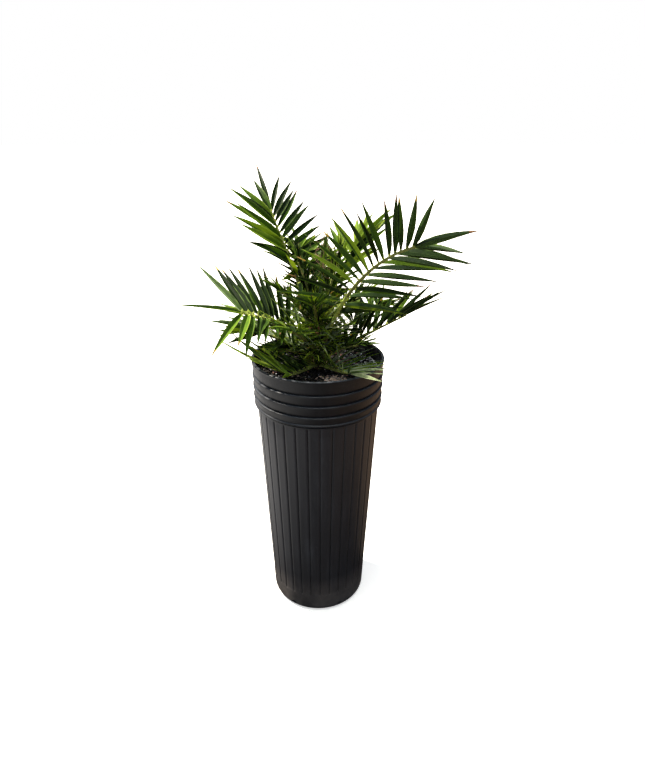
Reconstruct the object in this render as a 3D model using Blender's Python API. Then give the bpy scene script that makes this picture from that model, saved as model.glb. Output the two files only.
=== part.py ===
"""A young date palm in a tall ribbed nursery pot: pot, potting mix, short stem and its fronds.

Metres, +Z up. The origin is the centre of the pot's flat underside, and the photographed front faces -Y."""
import math
import bpy
import numpy as np
from mathutils.bvhtree import BVHTree

for thing in list(bpy.data.objects):
    bpy.data.objects.remove(thing, do_unlink=True)

# Pot: a tall tapered can with a collar of four bands over thin upright grooves
POT_HEIGHT = 0.480
RIM_RADIUS = 0.1100
COLLAR_FOOT_RADIUS = 0.1085
BODY_TOP_RADIUS = 0.1034
BODY_FOOT_RADIUS = 0.0856
UNDERSIDE_RADIUS = 0.0763
HEEL_RADIUS = 0.0830
HEEL_HEIGHT = 0.0032
WALL_FOOT = 0.010
BAND_FEET = (0.0225, 0.0410, 0.0595, 0.0780)  # below the rim
BEAD = 0.0014  # how far each band steps out at its foot
BEAD_HEIGHT = 0.0045
RIM_ROUND = 0.0035
RIM_EDGE = 0.0022
LIP = 0.003
LIP_EDGE = 0.0008
GROOVES = 32
GROOVE_DEPTH = 0.0012
GROOVE_HALF_ANGLE = 0.9  # degrees
GROOVE_FOOT = 0.036
GROOVE_RUN_OUT = 0.002
GROOVE_HEAD = 0.004  # below the collar
GROOVE_TURN = 2.0  # degrees from the front to the first groove
INNER_RIM_RADIUS = 0.1055
INNER_TOP_RADIUS = 0.0990
INNER_FOOT_RADIUS = 0.0805
SHOULDER = POT_HEIGHT - BAND_FEET[-1] - LIP  # where the inside widens into the collar
FLOOR = 0.005
FLOOR_ROUND = 0.004
DRAINS = 6
DRAIN_RADIUS = 0.0060
DRAIN_SIDES = 8
DRAIN_HEIGHT = 0.0045
DRAIN_REACH = (0.068, 0.095)
DRAIN_TURN = -2.5  # degrees the drains are turned from a layout even about the front

# Potting mix and stem
GAP = 0.0003
MIX_TOP = 0.4550
MIX_SIDES = 32
MIX_RINGS = (0.085, 0.062, 0.040, 0.020)
MIX_LUMP = 0.0014
MIX_HEAP = 0.0016
MIX_CLEAR = 0.0045  # above the mix, where no leaflet lies
RIM_CLEAR = 0.001
STEM_FOOT_RADIUS = 0.0092
STEM_TOP_RADIUS = 0.0046
STEM_FOOT = 0.4581
STEM_TOP = 0.5520
STEM_SIDES = 16

# Blades
LEAF_WIDTH = 0.0090
LEAF_THICK = 0.0014
LEAF_WIDEST = 0.34  # of its length out from its root
LEAF_ROOT = 0.34  # its root's width as a share of its widest
RIB_FOOT = 0.0030
RIB_TIP = 0.0013
RIB_STEPS = 10
RIB_ACROSS = 0.8  # half its width and half its depth as shares of the radius
RIB_UP = 0.75
SEAT = 0.00005  # added to the gap between a rib's foot and the stem
LAST_LEAFLET = 0.985  # of the rib's length
TIP_SUNK = 0.004
CLEAR = 0.0005  # added round each leaflet when two fronds are compared
EDGE_STEPS = 10  # points along each edge that are tested against the pot and the mix
SHORTER = (1.0, 0.8, 0.6, 0.45)  # a leaflet that touches another frond is shortened, then left out
STRAY = 20.0  # degrees that a leaflet may stray in spread and in lift; the cube keeps most of them near the rule
VARY_TURN = 10.0  # degrees about itself
VARY_LENGTH = 0.08

# One entry a frond. azimuth and rise give the rib's direction at its foot, sweep and rise_end how it bends, roll
# and twist turn the blade about the rib, and leaves counts the leaflets on its right and left, looking outward.
# spread is their angle from the rib at the first leaflet and at the last, fan how much nearer the rib every
# second one lies, and lift how far a side rises out of the blade's plane. first and last are the end leaflets as
# shares of the longest, which grows at longest. wide is the leaflets' width as a share of LEAF_WIDTH, and seeds start
# the strays of its right and left side.
FROND = dict(
    foot=0.50, azimuth=0, sweep=0, rise=50, rise_end=20, length=0.22, roll=0, twist=0, bare=0.25,
    leaves=(11, 11), fan=4, spread=77, spread_end=42, lift_right=20, lift_right_end=18, lift_left=20,
    lift_left_end=18, leaf=0.095, first=0.68, last=0.78, longest=0.4, tip_leaf=0.085, wide=1.0, seeds=(1, 2))
FRONDS = dict(
    frond_upper_left=dict(
        foot=0.484, azimuth=168, sweep=-59, rise=92, rise_end=36, length=0.249, roll=-36, twist=40,
        bare=0.35, leaves=(16, 16), fan=-3, spread=116, spread_end=21, lift_right=12, lift_right_end=2,
        lift_left=29, lift_left_end=1, leaf=0.103, last=0.79, tip_leaf=0.123, seeds=(126224, 133103)),
    frond_upper_right=dict(
        foot=0.492, azimuth=-43, sweep=-19, rise=73, rise_end=18, length=0.285, roll=6, twist=53,
        bare=0.27, leaves=(17, 12), fan=-4, spread=85, spread_end=30, lift_right=0, lift_right_end=5,
        lift_left=-9, lift_left_end=20, leaf=0.106, first=1.0, last=0.86, tip_leaf=0.122,
        seeds=(30876, 11737)),
    frond_front_left=dict(
        foot=0.468, azimuth=244, rise=4, rise_end=14, length=0.086, bare=0.24, leaves=(5, 3), fan=0,
        spread=95, spread_end=78, lift_right=25, lift_left=138, lift_left_end=145, leaf=0.103, first=0.6,
        last=1.3, longest=0.1, tip_leaf=0.030, wide=1.1, seeds=(27445, 8)),
    frond_front_right=dict(
        foot=0.468, azimuth=-62, sweep=5, rise=6, rise_end=12, length=0.083, bare=0.24, leaves=(3, 5),
        fan=0, spread=101, spread_end=30, lift_right=45, lift_right_end=40, lift_left=21, lift_left_end=4,
        leaf=0.083, first=0.8, last=0.98, tip_leaf=0.090, wide=0.9, seeds=(7, 7114)),
    frond_mid_left=dict(
        foot=0.505, azimuth=210, sweep=-7, rise=44, rise_end=14, length=0.136, roll=19, twist=5,
        bare=0.42, leaves=(10, 10), fan=1, spread=70, spread_end=67, lift_right=32, lift_right_end=-3,
        lift_left=23, lift_left_end=8, leaf=0.100, first=0.78, last=1.24, tip_leaf=0.113,
        seeds=(5678, 3371)),
    frond_low_left=dict(
        foot=0.467, azimuth=190, rise=51, rise_end=16, length=0.118, roll=-4, twist=3, bare=0.2,
        leaves=(8, 8), spread=83, spread_end=44, lift_right=-4, lift_right_end=-7, lift_left=-7,
        lift_left_end=-6, leaf=0.089, tip_leaf=0.074, seeds=(11, 12)),
    frond_low_right=dict(
        foot=0.474, azimuth=12, sweep=6, rise=28, rise_end=19, length=0.157, roll=21, twist=-3, bare=0.22,
        leaves=(11, 11), fan=2, spread=79, spread_end=28, lift_right=37, lift_right_end=20, lift_left=33,
        lift_left_end=24, leaf=0.103, first=0.6, last=0.83, tip_leaf=0.086, seeds=(3, 56711)),
    frond_front=dict(
        foot=0.488, azimuth=-118, rise=52, rise_end=24, length=0.100, roll=10, leaves=(7, 7), leaf=0.070,
        tip_leaf=0.060, seeds=(15, 16)),
    frond_front_low=dict(
        foot=0.474, azimuth=-40, sweep=8, rise=48, rise_end=14, length=0.080, leaves=(6, 6), leaf=0.060,
        tip_leaf=0.050, seeds=(17, 18)),
    frond_low_front_left=dict(
        foot=0.480, azimuth=-138, rise=34, rise_end=10, length=0.080, leaves=(5, 5), leaf=0.058,
        tip_leaf=0.050, seeds=(19, 20)),
    frond_centre_front=dict(
        foot=0.520, azimuth=-95, rise=66, rise_end=34, length=0.085, leaves=(6, 6), leaf=0.062,
        tip_leaf=0.050, seeds=(31, 32)),
    frond_centre_left=dict(
        foot=0.526, azimuth=212, rise=66, rise_end=36, length=0.090, leaves=(6, 6), leaf=0.062,
        tip_leaf=0.050, seeds=(23, 24)),
    frond_centre_right=dict(
        foot=0.514, azimuth=-4, rise=64, rise_end=34, length=0.090, leaves=(6, 6), leaf=0.062,
        tip_leaf=0.050, seeds=(33, 34)),
    frond_inner_left=dict(
        foot=0.545, azimuth=150, rise=84, rise_end=62, length=0.090, roll=-40, leaves=(7, 7), leaf=0.062,
        tip_leaf=0.050, seeds=(27, 28)),
    frond_inner_right=dict(
        foot=0.542, azimuth=30, rise=80, rise_end=60, length=0.100, roll=40, leaves=(7, 7), leaf=0.065,
        tip_leaf=0.050, seeds=(29, 30)),
    frond_back_right=dict(
        foot=0.522, azimuth=60, sweep=-14, rise=60, rise_end=32, length=0.180, roll=10, twist=10,
        leaves=(9, 9), seeds=(31, 32)),
    frond_back_left=dict(
        foot=0.525, azimuth=104, rise=56, rise_end=24, length=0.165, roll=-6, leaves=(8, 8), leaf=0.080,
        seeds=(33, 34)),
    frond_back=dict(
        foot=0.500, azimuth=84, sweep=4, rise=44, rise_end=4, length=0.235, leaves=(9, 9), seeds=(35, 36)),
    frond_back_low_right=dict(
        foot=0.488, azimuth=48, sweep=8, rise=24, rise_end=-2, length=0.175, leaves=(7, 7), leaf=0.078,
        seeds=(37, 38)),
    frond_back_low_left=dict(
        foot=0.474, azimuth=143, sweep=-4, rise=30, rise_end=2, length=0.170, leaves=(7, 7), leaf=0.080,
        seeds=(39, 40)),
    frond_back_low=dict(
        foot=0.468, azimuth=100, sweep=-4, rise=30, rise_end=-4, length=0.190, leaves=(7, 7),
        seeds=(41, 42)),
)
SPEAR = dict(azimuth=20, rise=84, rise_end=82, length=0.130, radius=0.0042)


def unit(v):
    return v / np.linalg.norm(v, axis=-1, keepdims=True)


def add_object(name, points, faces, colour=(0.2, 0.3, 0.1), hidden=False):
    """A mesh object from points and faces, with its own material."""
    mesh = bpy.data.meshes.new(name)
    mesh.from_pydata([tuple(map(float, p)) for p in points], [], [tuple(map(int, f)) for f in faces])
    mesh.update()
    thing = bpy.data.objects.new(name, mesh)
    bpy.context.scene.collection.objects.link(thing)
    if hidden:
        thing.hide_render = True
        thing.display_type = "WIRE"
    else:
        surface = bpy.data.materials.new(name)
        surface.use_nodes = True
        surface.node_tree.nodes["Principled BSDF"].inputs["Base Color"].default_value = (*colour, 1.0)
        surface.node_tree.nodes["Principled BSDF"].inputs["Roughness"].default_value = 0.6
        mesh.materials.append(surface)
    return thing


def settled(thing):
    """Bakes the object's modifiers into its mesh."""
    graph = bpy.context.evaluated_depsgraph_get()
    baked = bpy.data.meshes.new_from_object(thing.evaluated_get(graph))
    thing.modifiers.clear()
    thing.data = baked
    return thing


def lathe(rings, turns, radius_at=None):
    """A closed body of revolution from (radius, height) rings, closed on the axis at both ends.

    radius_at, where it is given, changes the radius of one ring's point."""
    points, faces = [], []
    count = len(turns)
    for row, (radius, height) in enumerate(rings):
        for column, turn in enumerate(turns):
            r = radius_at(row, column, radius) if radius_at else radius
            points.append((r * math.cos(turn), r * math.sin(turn), height))
    for row in range(len(rings) - 1):
        for column in range(count):
            following = (column + 1) % count
            a, b = row * count + column, row * count + following
            faces.append((a, b, b + count, a + count))
    bottom, top = len(points), len(points) + 1
    points.append((0.0, 0.0, rings[0][1]))
    points.append((0.0, 0.0, rings[-1][1]))
    last = (len(rings) - 1) * count
    for column in range(count):
        following = (column + 1) % count
        faces.append((following, column, bottom))
        faces.append((last + column, last + following, top))
    return points, faces


def body_radius(z):
    """Outer radius of the fluted wall at height z."""
    return BODY_FOOT_RADIUS + (BODY_TOP_RADIUS - BODY_FOOT_RADIUS) * z / (POT_HEIGHT - BAND_FEET[-1])


def inner_radius(z):
    """Inner radius of the wall at height z."""
    if z < SHOULDER:
        return INNER_FOOT_RADIUS + (INNER_TOP_RADIUS - INNER_FOOT_RADIUS) * (z - FLOOR) / (SHOULDER - FLOOR)
    share = (z - SHOULDER) / (POT_HEIGHT - LIP - SHOULDER)
    return INNER_TOP_RADIUS + (INNER_RIM_RADIUS - INNER_TOP_RADIUS) * share


def make_pot():
    collar_foot = POT_HEIGHT - BAND_FEET[-1]
    rings = [(UNDERSIDE_RADIUS, 0.0), (HEEL_RADIUS, HEEL_HEIGHT), (body_radius(WALL_FOOT), WALL_FOOT),
             (body_radius(GROOVE_FOOT), GROOVE_FOOT)]
    grooved = range(len(rings), len(rings) + 2)
    for height in (GROOVE_FOOT + GROOVE_RUN_OUT, collar_foot - GROOVE_HEAD):
        rings.append((body_radius(height), height))
    rings.append((BODY_TOP_RADIUS, collar_foot))
    depths = list(reversed(BAND_FEET)) + [0.0]
    for foot, head in zip(depths, depths[1:]):
        share = foot / BAND_FEET[-1]
        radius = RIM_RADIUS + (COLLAR_FOOT_RADIUS - RIM_RADIUS) * share
        rings += [(radius, POT_HEIGHT - foot), (radius - BEAD, POT_HEIGHT - foot + BEAD_HEIGHT)]
        rings.append((radius - BEAD, POT_HEIGHT - head - (RIM_ROUND if head == 0.0 else 0.0)))
    rings += [(RIM_RADIUS - RIM_EDGE, POT_HEIGHT), (INNER_RIM_RADIUS + LIP_EDGE, POT_HEIGHT),
              (INNER_RIM_RADIUS, POT_HEIGHT - LIP), (INNER_TOP_RADIUS, SHOULDER),
              (INNER_FOOT_RADIUS, FLOOR + FLOOR_ROUND), (INNER_FOOT_RADIUS - FLOOR_ROUND, FLOOR)]
    half = math.radians(GROOVE_HALF_ANGLE)
    turns = []
    for groove in range(GROOVES):
        middle = math.radians(-90 + GROOVE_TURN + groove * 360 / GROOVES)
        turns += [middle - half, middle, middle + half]

    def radius_at(row, column, radius):
        return radius - GROOVE_DEPTH if row in grooved and column % 3 == 1 else radius

    pot = add_object("pot", *lathe(rings, turns, radius_at), colour=(0.02, 0.02, 0.022))
    for drain in range(DRAINS):
        turn = math.radians(-90 + DRAIN_TURN + 180 / DRAINS + drain * 360 / DRAINS)
        points = []
        sides = DRAIN_SIDES
        for reach in DRAIN_REACH:
            for side in range(sides):
                angle = 2 * math.pi * (side + 0.5) / sides
                across, up = DRAIN_RADIUS * math.cos(angle), DRAIN_HEIGHT + DRAIN_RADIUS * math.sin(angle)
                points.append((reach * math.cos(turn) - across * math.sin(turn),
                               reach * math.sin(turn) + across * math.cos(turn), up))
        faces = [tuple(reversed(range(sides))), tuple(range(sides, 2 * sides))]
        for side in range(sides):
            following = (side + 1) % sides
            faces.append((side, following, following + sides, side + sides))
        cutter = add_object(f"drain_cutter_{drain}", points, faces, hidden=True)
        cut = pot.modifiers.new("drain", "BOOLEAN")
        cut.operation = "DIFFERENCE"
        cut.solver = "EXACT"
        cut.object = cutter
    settled(pot)
    for thing in list(bpy.data.objects):
        if thing.name.startswith("drain_cutter"):
            bpy.data.objects.remove(thing, do_unlink=True)
    return pot


def mix_height(x, y):
    """Height of the potting mix: level, with low lumps and a slight heap at the stem."""
    lumps = math.sin(61 * x + 1.0) * math.cos(53 * y) + 0.8 * math.sin(97 * y + 41 * x)
    return MIX_TOP + MIX_LUMP * lumps + MIX_HEAP * math.exp(-(x * x + y * y) / 0.0008)


def make_mix():
    turns = [2 * math.pi * side / MIX_SIDES for side in range(MIX_SIDES)]
    inside = math.cos(math.pi / GROOVES)  # the wall's flats lie this much nearer the axis than its corners
    rings = [(INNER_FOOT_RADIUS - 1.5 * FLOOR_ROUND, FLOOR + GAP),
             (INNER_FOOT_RADIUS * inside - 0.0008, FLOOR + FLOOR_ROUND + GAP),
             (INNER_TOP_RADIUS * inside - GAP, SHOULDER)]
    low = len(rings)
    rings.append(((inner_radius(MIX_TOP) - 3 * GAP) * inside, MIX_TOP))
    rings += [(radius, MIX_TOP) for radius in MIX_RINGS]
    points, faces = lathe(rings, turns)
    lifted = []
    for index, (x, y, z) in enumerate(points):
        raised = index // MIX_SIDES > low and index < len(points) - 2 or index == len(points) - 1
        lifted.append((x, y, mix_height(x, y) if raised else z))
    return add_object("potting_mix", lifted, faces, colour=(0.04, 0.03, 0.022))


def stem_radius(z):
    return STEM_FOOT_RADIUS + (STEM_TOP_RADIUS - STEM_FOOT_RADIUS) * (z - STEM_FOOT) / (STEM_TOP - STEM_FOOT)


def make_stem():
    turns = [2 * math.pi * side / STEM_SIDES for side in range(STEM_SIDES)]
    rings = [(stem_radius(z), z) for z in (STEM_FOOT, 0.5 * (STEM_FOOT + STEM_TOP), STEM_TOP)]
    return add_object("stem", *lathe(rings, turns), colour=(0.10, 0.08, 0.03))


def rib_of(frond):
    """The rib at even steps: its share walked, points, outward, side and upper directions."""
    steps = 41
    t = np.linspace(0, 1, steps)
    azimuth = np.radians(frond["azimuth"] + frond["sweep"] * t)
    rise = np.radians(frond["rise"] + (frond["rise_end"] - frond["rise"]) * t)
    along = np.stack([np.cos(rise) * np.cos(azimuth), np.cos(rise) * np.sin(azimuth), np.sin(rise)], 1)
    out = np.radians(frond["azimuth"])
    roll = math.radians(frond["roll"])
    half = RIB_FOOT * (RIB_ACROSS * abs(math.sin(roll)) + RIB_UP * math.cos(roll))
    reach = stem_radius(frond["foot"]) + GAP + half * math.sin(rise[0]) + SEAT
    foot = np.array([reach * math.cos(out), reach * math.sin(out), frond["foot"]])
    if frond["foot"] > STEM_TOP - 0.001:
        foot[:2] = 0.0
    walked = np.cumsum((along[1:] + along[:-1]) / 2 * frond["length"] / (steps - 1), axis=0)
    points = foot + np.concatenate([np.zeros((1, 3)), walked])
    level = np.stack([np.sin(azimuth), -np.cos(azimuth), 0 * azimuth], 1)
    above = np.cross(level, along)
    turn = np.radians(frond["roll"] + frond["twist"] * t)[:, None]
    side = np.cos(turn) * level + np.sin(turn) * above
    upper = np.cos(turn) * above - np.sin(turn) * level
    return t, points, along, side, upper


def at(rib, values, t):
    return np.array([np.interp(t, rib[0], values[:, axis]) for axis in range(3)])


def rib_radius(t):
    return RIB_FOOT + (RIB_TIP - RIB_FOOT) * t


def rib_mesh(rib):
    """A four-sided tapering rod, its flat sides where the leaflets leave it."""
    points, faces = [], []
    for step in range(RIB_STEPS + 1):
        t = step / RIB_STEPS
        middle, side, upper = at(rib, rib[1], t), unit(at(rib, rib[3], t)), unit(at(rib, rib[4], t))
        radius = rib_radius(t)
        for across, up in ((1, -1), (1, 1), (-1, 1), (-1, -1)):
            points.append(middle + radius * (across * RIB_ACROSS * side + up * RIB_UP * upper))
    for step in range(RIB_STEPS):
        for corner in range(4):
            a, b = 4 * step + corner, 4 * step + (corner + 1) % 4
            faces.append((a, a + 4, b + 4, b))
    faces.append((0, 1, 2, 3))
    last = 4 * RIB_STEPS
    faces.append((last + 3, last + 2, last + 1, last))
    return np.array(points), faces


def leaf_mesh(root, direction, width_way, length, width, grow=0.0):
    """A leaflet: a flat spindle, widest a third of the way out, that ends in a point."""
    across = unit(width_way - direction * float(width_way @ direction))
    up = np.cross(direction, across)
    points = []
    for share, wide, thick in ((0.0, LEAF_ROOT, 0.85), (LEAF_WIDEST, 1.0, 1.0)):
        w, h = wide * width / 2 + grow, thick * LEAF_THICK / 2 + grow
        middle = root + direction * length * share
        points += [middle + w * across, middle + h * up, middle - w * across, middle - h * up]
    points.append(root + direction * (length + grow))
    faces = [(3, 2, 1, 0)]
    for corner in range(4):
        following = (corner + 1) % 4
        faces.append((corner, following, following + 4, corner + 4))
        faces.append((corner + 4, following + 4, 8))
    return np.array(points), faces


def leaf_places(frond, rib):
    """Every leaflet of a frond as its root, direction, width direction, length and width."""
    places = []
    wide = LEAF_WIDTH * frond["wide"]
    for hand, name, count, seed in zip((1, -1), ("right", "left"), frond["leaves"], frond["seeds"]):
        chance = np.random.default_rng(seed)
        for number in range(count):
            u = number / (count - 1)
            more = chance.uniform(-1, 1, 4)
            t = frond["bare"] + (LAST_LEAFLET - frond["bare"]) * u
            spread = frond["spread"] + (frond["spread_end"] - frond["spread"]) * u
            spread = math.radians(spread - frond["fan"] * (number % 2) + STRAY * more[0] ** 3)
            start, end = frond["lift_" + name], frond["lift_" + name + "_end"]
            lift = math.radians(start + (end - start) * u + STRAY * more[1] ** 3)
            turn = math.radians(VARY_TURN) * more[2]
            along, side, upper = (unit(at(rib, rib[k], t)) for k in (2, 3, 4))
            direction = unit(math.cos(spread) * along
                             + math.sin(spread) * (math.cos(lift) * hand * side + math.sin(lift) * upper))
            peak = frond["longest"]
            if u < peak:
                share = frond["first"] + (1 - frond["first"]) * math.sin(u / peak * math.pi / 2)
            else:
                share = frond["last"] + (1 - frond["last"]) * math.cos((u - peak) / (1 - peak) * math.pi / 2)
            across = unit(along - direction * float(along @ direction))
            across = math.cos(turn) * across + math.sin(turn) * np.cross(direction, across)
            length = frond["leaf"] * share * (1 + VARY_LENGTH * more[3])
            places.append((at(rib, rib[1], t), direction, across, length, wide * (0.75 + 0.25 * share)))
    tip = unit(at(rib, rib[2], 1.0))
    places.append((rib[1][-1] - TIP_SUNK * tip, tip, unit(at(rib, rib[3], 1.0)), frond["tip_leaf"], wide))
    return places


def tree_of(points, faces):
    return BVHTree.FromPolygons([tuple(map(float, p)) for p in points], faces)


def box_of(points):
    return points.min(axis=0), points.max(axis=0)


taken = []  # of every placed piece: its node, its box and its tree


def touches(node, points, faces):
    """Whether a piece comes within the clearance of another node's piece, the pot's wall or the mix."""
    low, high = box_of(points)
    far = np.hypot(points[:, 0], points[:, 1])
    edges = np.array([(face[k - 1], face[k]) for face in faces for k in range(len(face))])
    for share in np.linspace(0, 1, EDGE_STEPS):
        way = points[edges[:, 0]] + (points[edges[:, 1]] - points[edges[:, 0]]) * share
        r, z = np.hypot(way[:, 0], way[:, 1]), way[:, 2]
        if ((z < MIX_TOP + MIX_CLEAR) & (r < INNER_RIM_RADIUS)).any():
            return True
        if ((z < POT_HEIGHT + RIM_CLEAR) & (r > INNER_RIM_RADIUS - 3 * RIM_CLEAR)).any():
            return True
    if high[2] < POT_HEIGHT and far.max() > INNER_RIM_RADIUS - 4 * RIM_CLEAR:
        return True
    tree = None
    for other, other_low, other_high, other_tree in taken:
        if other == node or (low > other_high).any() or (high < other_low).any():
            continue
        tree = tree or tree_of(points, faces)
        if tree.overlap(other_tree):
            return True
    return False


def take(node, points, faces):
    low, high = box_of(points)
    taken.append((node, low, high, tree_of(points, faces)))


def join(base, pieces):
    """One body out of a rib and its leaflets."""
    group = bpy.data.collections.new(base.name + "_leaflets")
    bpy.context.scene.collection.children.link(group)
    made = []
    for number, (points, faces) in enumerate(pieces):
        piece = add_object(f"{base.name}_leaflet_{number}", points, faces, hidden=True)
        bpy.context.scene.collection.objects.unlink(piece)
        group.objects.link(piece)
        made.append(piece)
    union = base.modifiers.new("leaflets", "BOOLEAN")
    union.operation = "UNION"
    union.operand_type = "COLLECTION"
    union.collection = group
    union.solver = "EXACT"
    settled(base)
    for piece in made:
        bpy.data.objects.remove(piece, do_unlink=True)
    bpy.data.collections.remove(group)
    return base


def make_fronds():
    fronds = {name: {**FROND, **entry} for name, entry in FRONDS.items()}
    ribs = {name: rib_of(frond) for name, frond in fronds.items()}
    for name, rib in ribs.items():
        points, faces = rib_mesh(rib)
        if touches(name, points, faces):
            print(name, "rib touches another piece")
        take(name, points, faces)
    for name, frond in fronds.items():
        pieces, short, out = [], 0, 0
        for root, direction, along, length, width in leaf_places(frond, ribs[name]):
            for share in SHORTER:
                grown = leaf_mesh(root, direction, along, length * share, width, grow=CLEAR)
                if not touches(name, *grown):
                    pieces.append(leaf_mesh(root, direction, along, length * share, width))
                    take(name, *grown)
                    short += share < 1
                    break
            else:
                out += 1
        print(name, len(pieces), "leaflets,", short, "shortened,", out, "left out")
        points, faces = rib_mesh(ribs[name])
        base = add_object(name, points, faces, colour=(0.10, 0.20, 0.04))
        join(base, pieces)


def make_spear():
    """The new leaf, still folded to a slim spindle above the stem."""
    spear = {**FROND, **SPEAR, "foot": STEM_TOP + GAP, "bare": 0.0}
    rib = rib_of(spear)
    points, faces = [], []
    rows = ((0.0, 0.75), (0.3, 1.0), (0.65, 0.72), (1.0, 0.12))
    for t, share in rows:
        middle, side, upper = at(rib, rib[1], t), unit(at(rib, rib[3], t)), unit(at(rib, rib[4], t))
        for corner in range(6):
            angle = math.pi / 3 * corner
            offset = math.cos(angle) * side + 0.8 * math.sin(angle) * upper
            if t == 0.0:
                offset = offset * np.array([1, 1, 0])
            points.append(middle + share * SPEAR["radius"] * offset)
    for row in range(len(rows) - 1):
        for corner in range(6):
            a, b = 6 * row + corner, 6 * row + (corner + 1) % 6
            faces.append((a, a + 6, b + 6, b))
    faces.append(tuple(range(6)))
    faces.append(tuple(reversed(range(18, 24))))
    take("spear_leaf", np.array(points), faces)
    return add_object("spear_leaf", points, faces, colour=(0.14, 0.18, 0.07))


make_pot()
make_mix()
stem = make_stem()
take("stem", np.array([v.co for v in stem.data.vertices]), [tuple(p.vertices) for p in stem.data.polygons])
make_spear()
make_fronds()
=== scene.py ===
# A young date palm in a tall ribbed nursery pot: the finished look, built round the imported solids
import math
from functools import partial

import bpy
import numpy as np
from mathutils.bvhtree import BVHTree
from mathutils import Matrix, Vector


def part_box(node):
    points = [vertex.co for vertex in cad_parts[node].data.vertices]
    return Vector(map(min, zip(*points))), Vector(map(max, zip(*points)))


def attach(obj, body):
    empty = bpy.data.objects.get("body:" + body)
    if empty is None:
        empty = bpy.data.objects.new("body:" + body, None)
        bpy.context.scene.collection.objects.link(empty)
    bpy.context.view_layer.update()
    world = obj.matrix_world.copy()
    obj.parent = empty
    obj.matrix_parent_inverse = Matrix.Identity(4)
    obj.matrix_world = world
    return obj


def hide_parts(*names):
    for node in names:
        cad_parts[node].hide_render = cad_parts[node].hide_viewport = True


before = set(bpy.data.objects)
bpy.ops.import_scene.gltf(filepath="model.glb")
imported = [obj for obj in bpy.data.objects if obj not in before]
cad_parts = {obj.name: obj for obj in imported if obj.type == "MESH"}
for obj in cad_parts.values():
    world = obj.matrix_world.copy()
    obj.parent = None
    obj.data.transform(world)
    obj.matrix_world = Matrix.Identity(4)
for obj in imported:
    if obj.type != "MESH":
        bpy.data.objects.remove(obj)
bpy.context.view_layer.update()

# Small tools for colours, nodes and meshes


def fromHex(code):  # an sRGB hex value turned to linear light
    srgb = np.array([int(code[i:i + 2], 16) for i in (1, 3, 5)]) / 255
    linear = np.where(srgb <= 0.04045, srgb / 12.92, ((srgb + 0.055) / 1.055) ** 2.4)
    return (*map(float, linear), 1.0)


def cleared(block):  # a material or a world without nodes, and the function that adds its own
    block.use_nodes = True
    block.node_tree.nodes.clear()
    return block, partial(addNode, block.node_tree)


def addNode(tree, kind, entries={}):
    # kind is the node's type without ShaderNode. A key with a small first letter is an option of the node,
    # and any other a socket, which takes a number, a hex colour, a socket, or a node for its first output
    node = tree.nodes.new("ShaderNode" + kind)
    for key, value in entries.items():
        if isinstance(key, str) and key[0].islower():
            setattr(node, key, value)
        elif isinstance(value, (bpy.types.Node, bpy.types.NodeSocket)):
            source = value.outputs[0] if isinstance(value, bpy.types.Node) else value
            tree.links.new(source, node.inputs[key])
        else:
            node.inputs[key].default_value = fromHex(value) if isinstance(value, str) else value
    return node


def between(ends, share):  # the value at a share of the way from the first end to the second
    return ends[0] + (ends[1] - ends[0]) * share


def smoothStep(x):  # from 0 to 1, level at both ends
    x = np.clip(x, 0, 1)
    return x * x * (3 - 2 * x)


def unit(v):
    return v / np.linalg.norm(v, axis=-1, keepdims=True)


def upright(v, direction):  # v less its part along the direction
    return unit(v - direction * (v * direction).sum(1, keepdims=True))


def rotated(side, up, angle):  # the two directions turned together about the line that they stand on
    return np.cos(angle) * side + np.sin(angle) * up, np.cos(angle) * up - np.sin(angle) * side


def outward(turn):  # level directions from the upright axis
    return np.stack([np.cos(turn), np.sin(turn), 0 * turn], -1)


def addPiece(name, points, faces, materials, slot, nodes=(), tones=None, uv=None, smooth=True, creases=None):
    # faces is a list of index arrays, one for each number of corners; tones gives each face's material, and
    # creases marks the points between which an edge stays sharp
    points = np.asarray(points, float).reshape(-1, 3)
    corners = np.concatenate([f.ravel() for f in faces]).astype(np.int32)
    sizes = np.concatenate([np.full(len(f), f.shape[1]) for f in faces])
    mesh = bpy.data.meshes.new(name)
    mesh.vertices.add(len(points))
    mesh.vertices.foreach_set("co", points.astype(np.float32).ravel())
    mesh.loops.add(len(corners))
    mesh.loops.foreach_set("vertex_index", corners)
    mesh.polygons.add(len(sizes))
    mesh.polygons.foreach_set("loop_start", (np.cumsum(sizes) - sizes).astype(np.int32))
    if tones is not None:
        mesh.polygons.foreach_set("material_index", np.asarray(tones, np.int32))
    if uv is not None:
        layer = mesh.uv_layers.new(name="surface")
        layer.data.foreach_set("uv", uv.reshape(-1, 2)[corners].astype(np.float32).ravel())
    mesh.update(calc_edges=True)
    mesh.validate()
    if smooth:
        mesh.shade_smooth()
    if creases is not None:
        ends = np.empty(2 * len(mesh.edges), np.int32)
        mesh.edges.foreach_get("vertices", ends)
        sharp = mesh.attributes.new("sharp_edge", "BOOLEAN", "EDGE")
        sharp.data.foreach_set("value", creases[ends].reshape(-1, 2).all(1))
    for material in materials:
        mesh.materials.append(material)
    piece = bpy.data.objects.new(name, mesh)
    bpy.context.scene.collection.objects.link(piece)
    if slot:
        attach(piece, "root")
        if nodes:
            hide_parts(*nodes)
    return piece


def carry(profile, centres, sides, ups):
    # a profile carried along paths: centre + x * side + y * up, for every path, row and profile point
    return (centres[..., None, :] + profile[..., 0:1] * sides[..., None, :]
            + profile[..., 1:2] * ups[..., None, :])


def wallsOf(index):  # the faces between neighbouring rows of points, each row closed to a ring
    following = np.roll(index, -1, axis=-1)
    corners = index[..., :-1, :], following[..., :-1, :], following[..., 1:, :], index[..., 1:, :]
    return np.stack(corners, -1).reshape(-1, 4)


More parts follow.
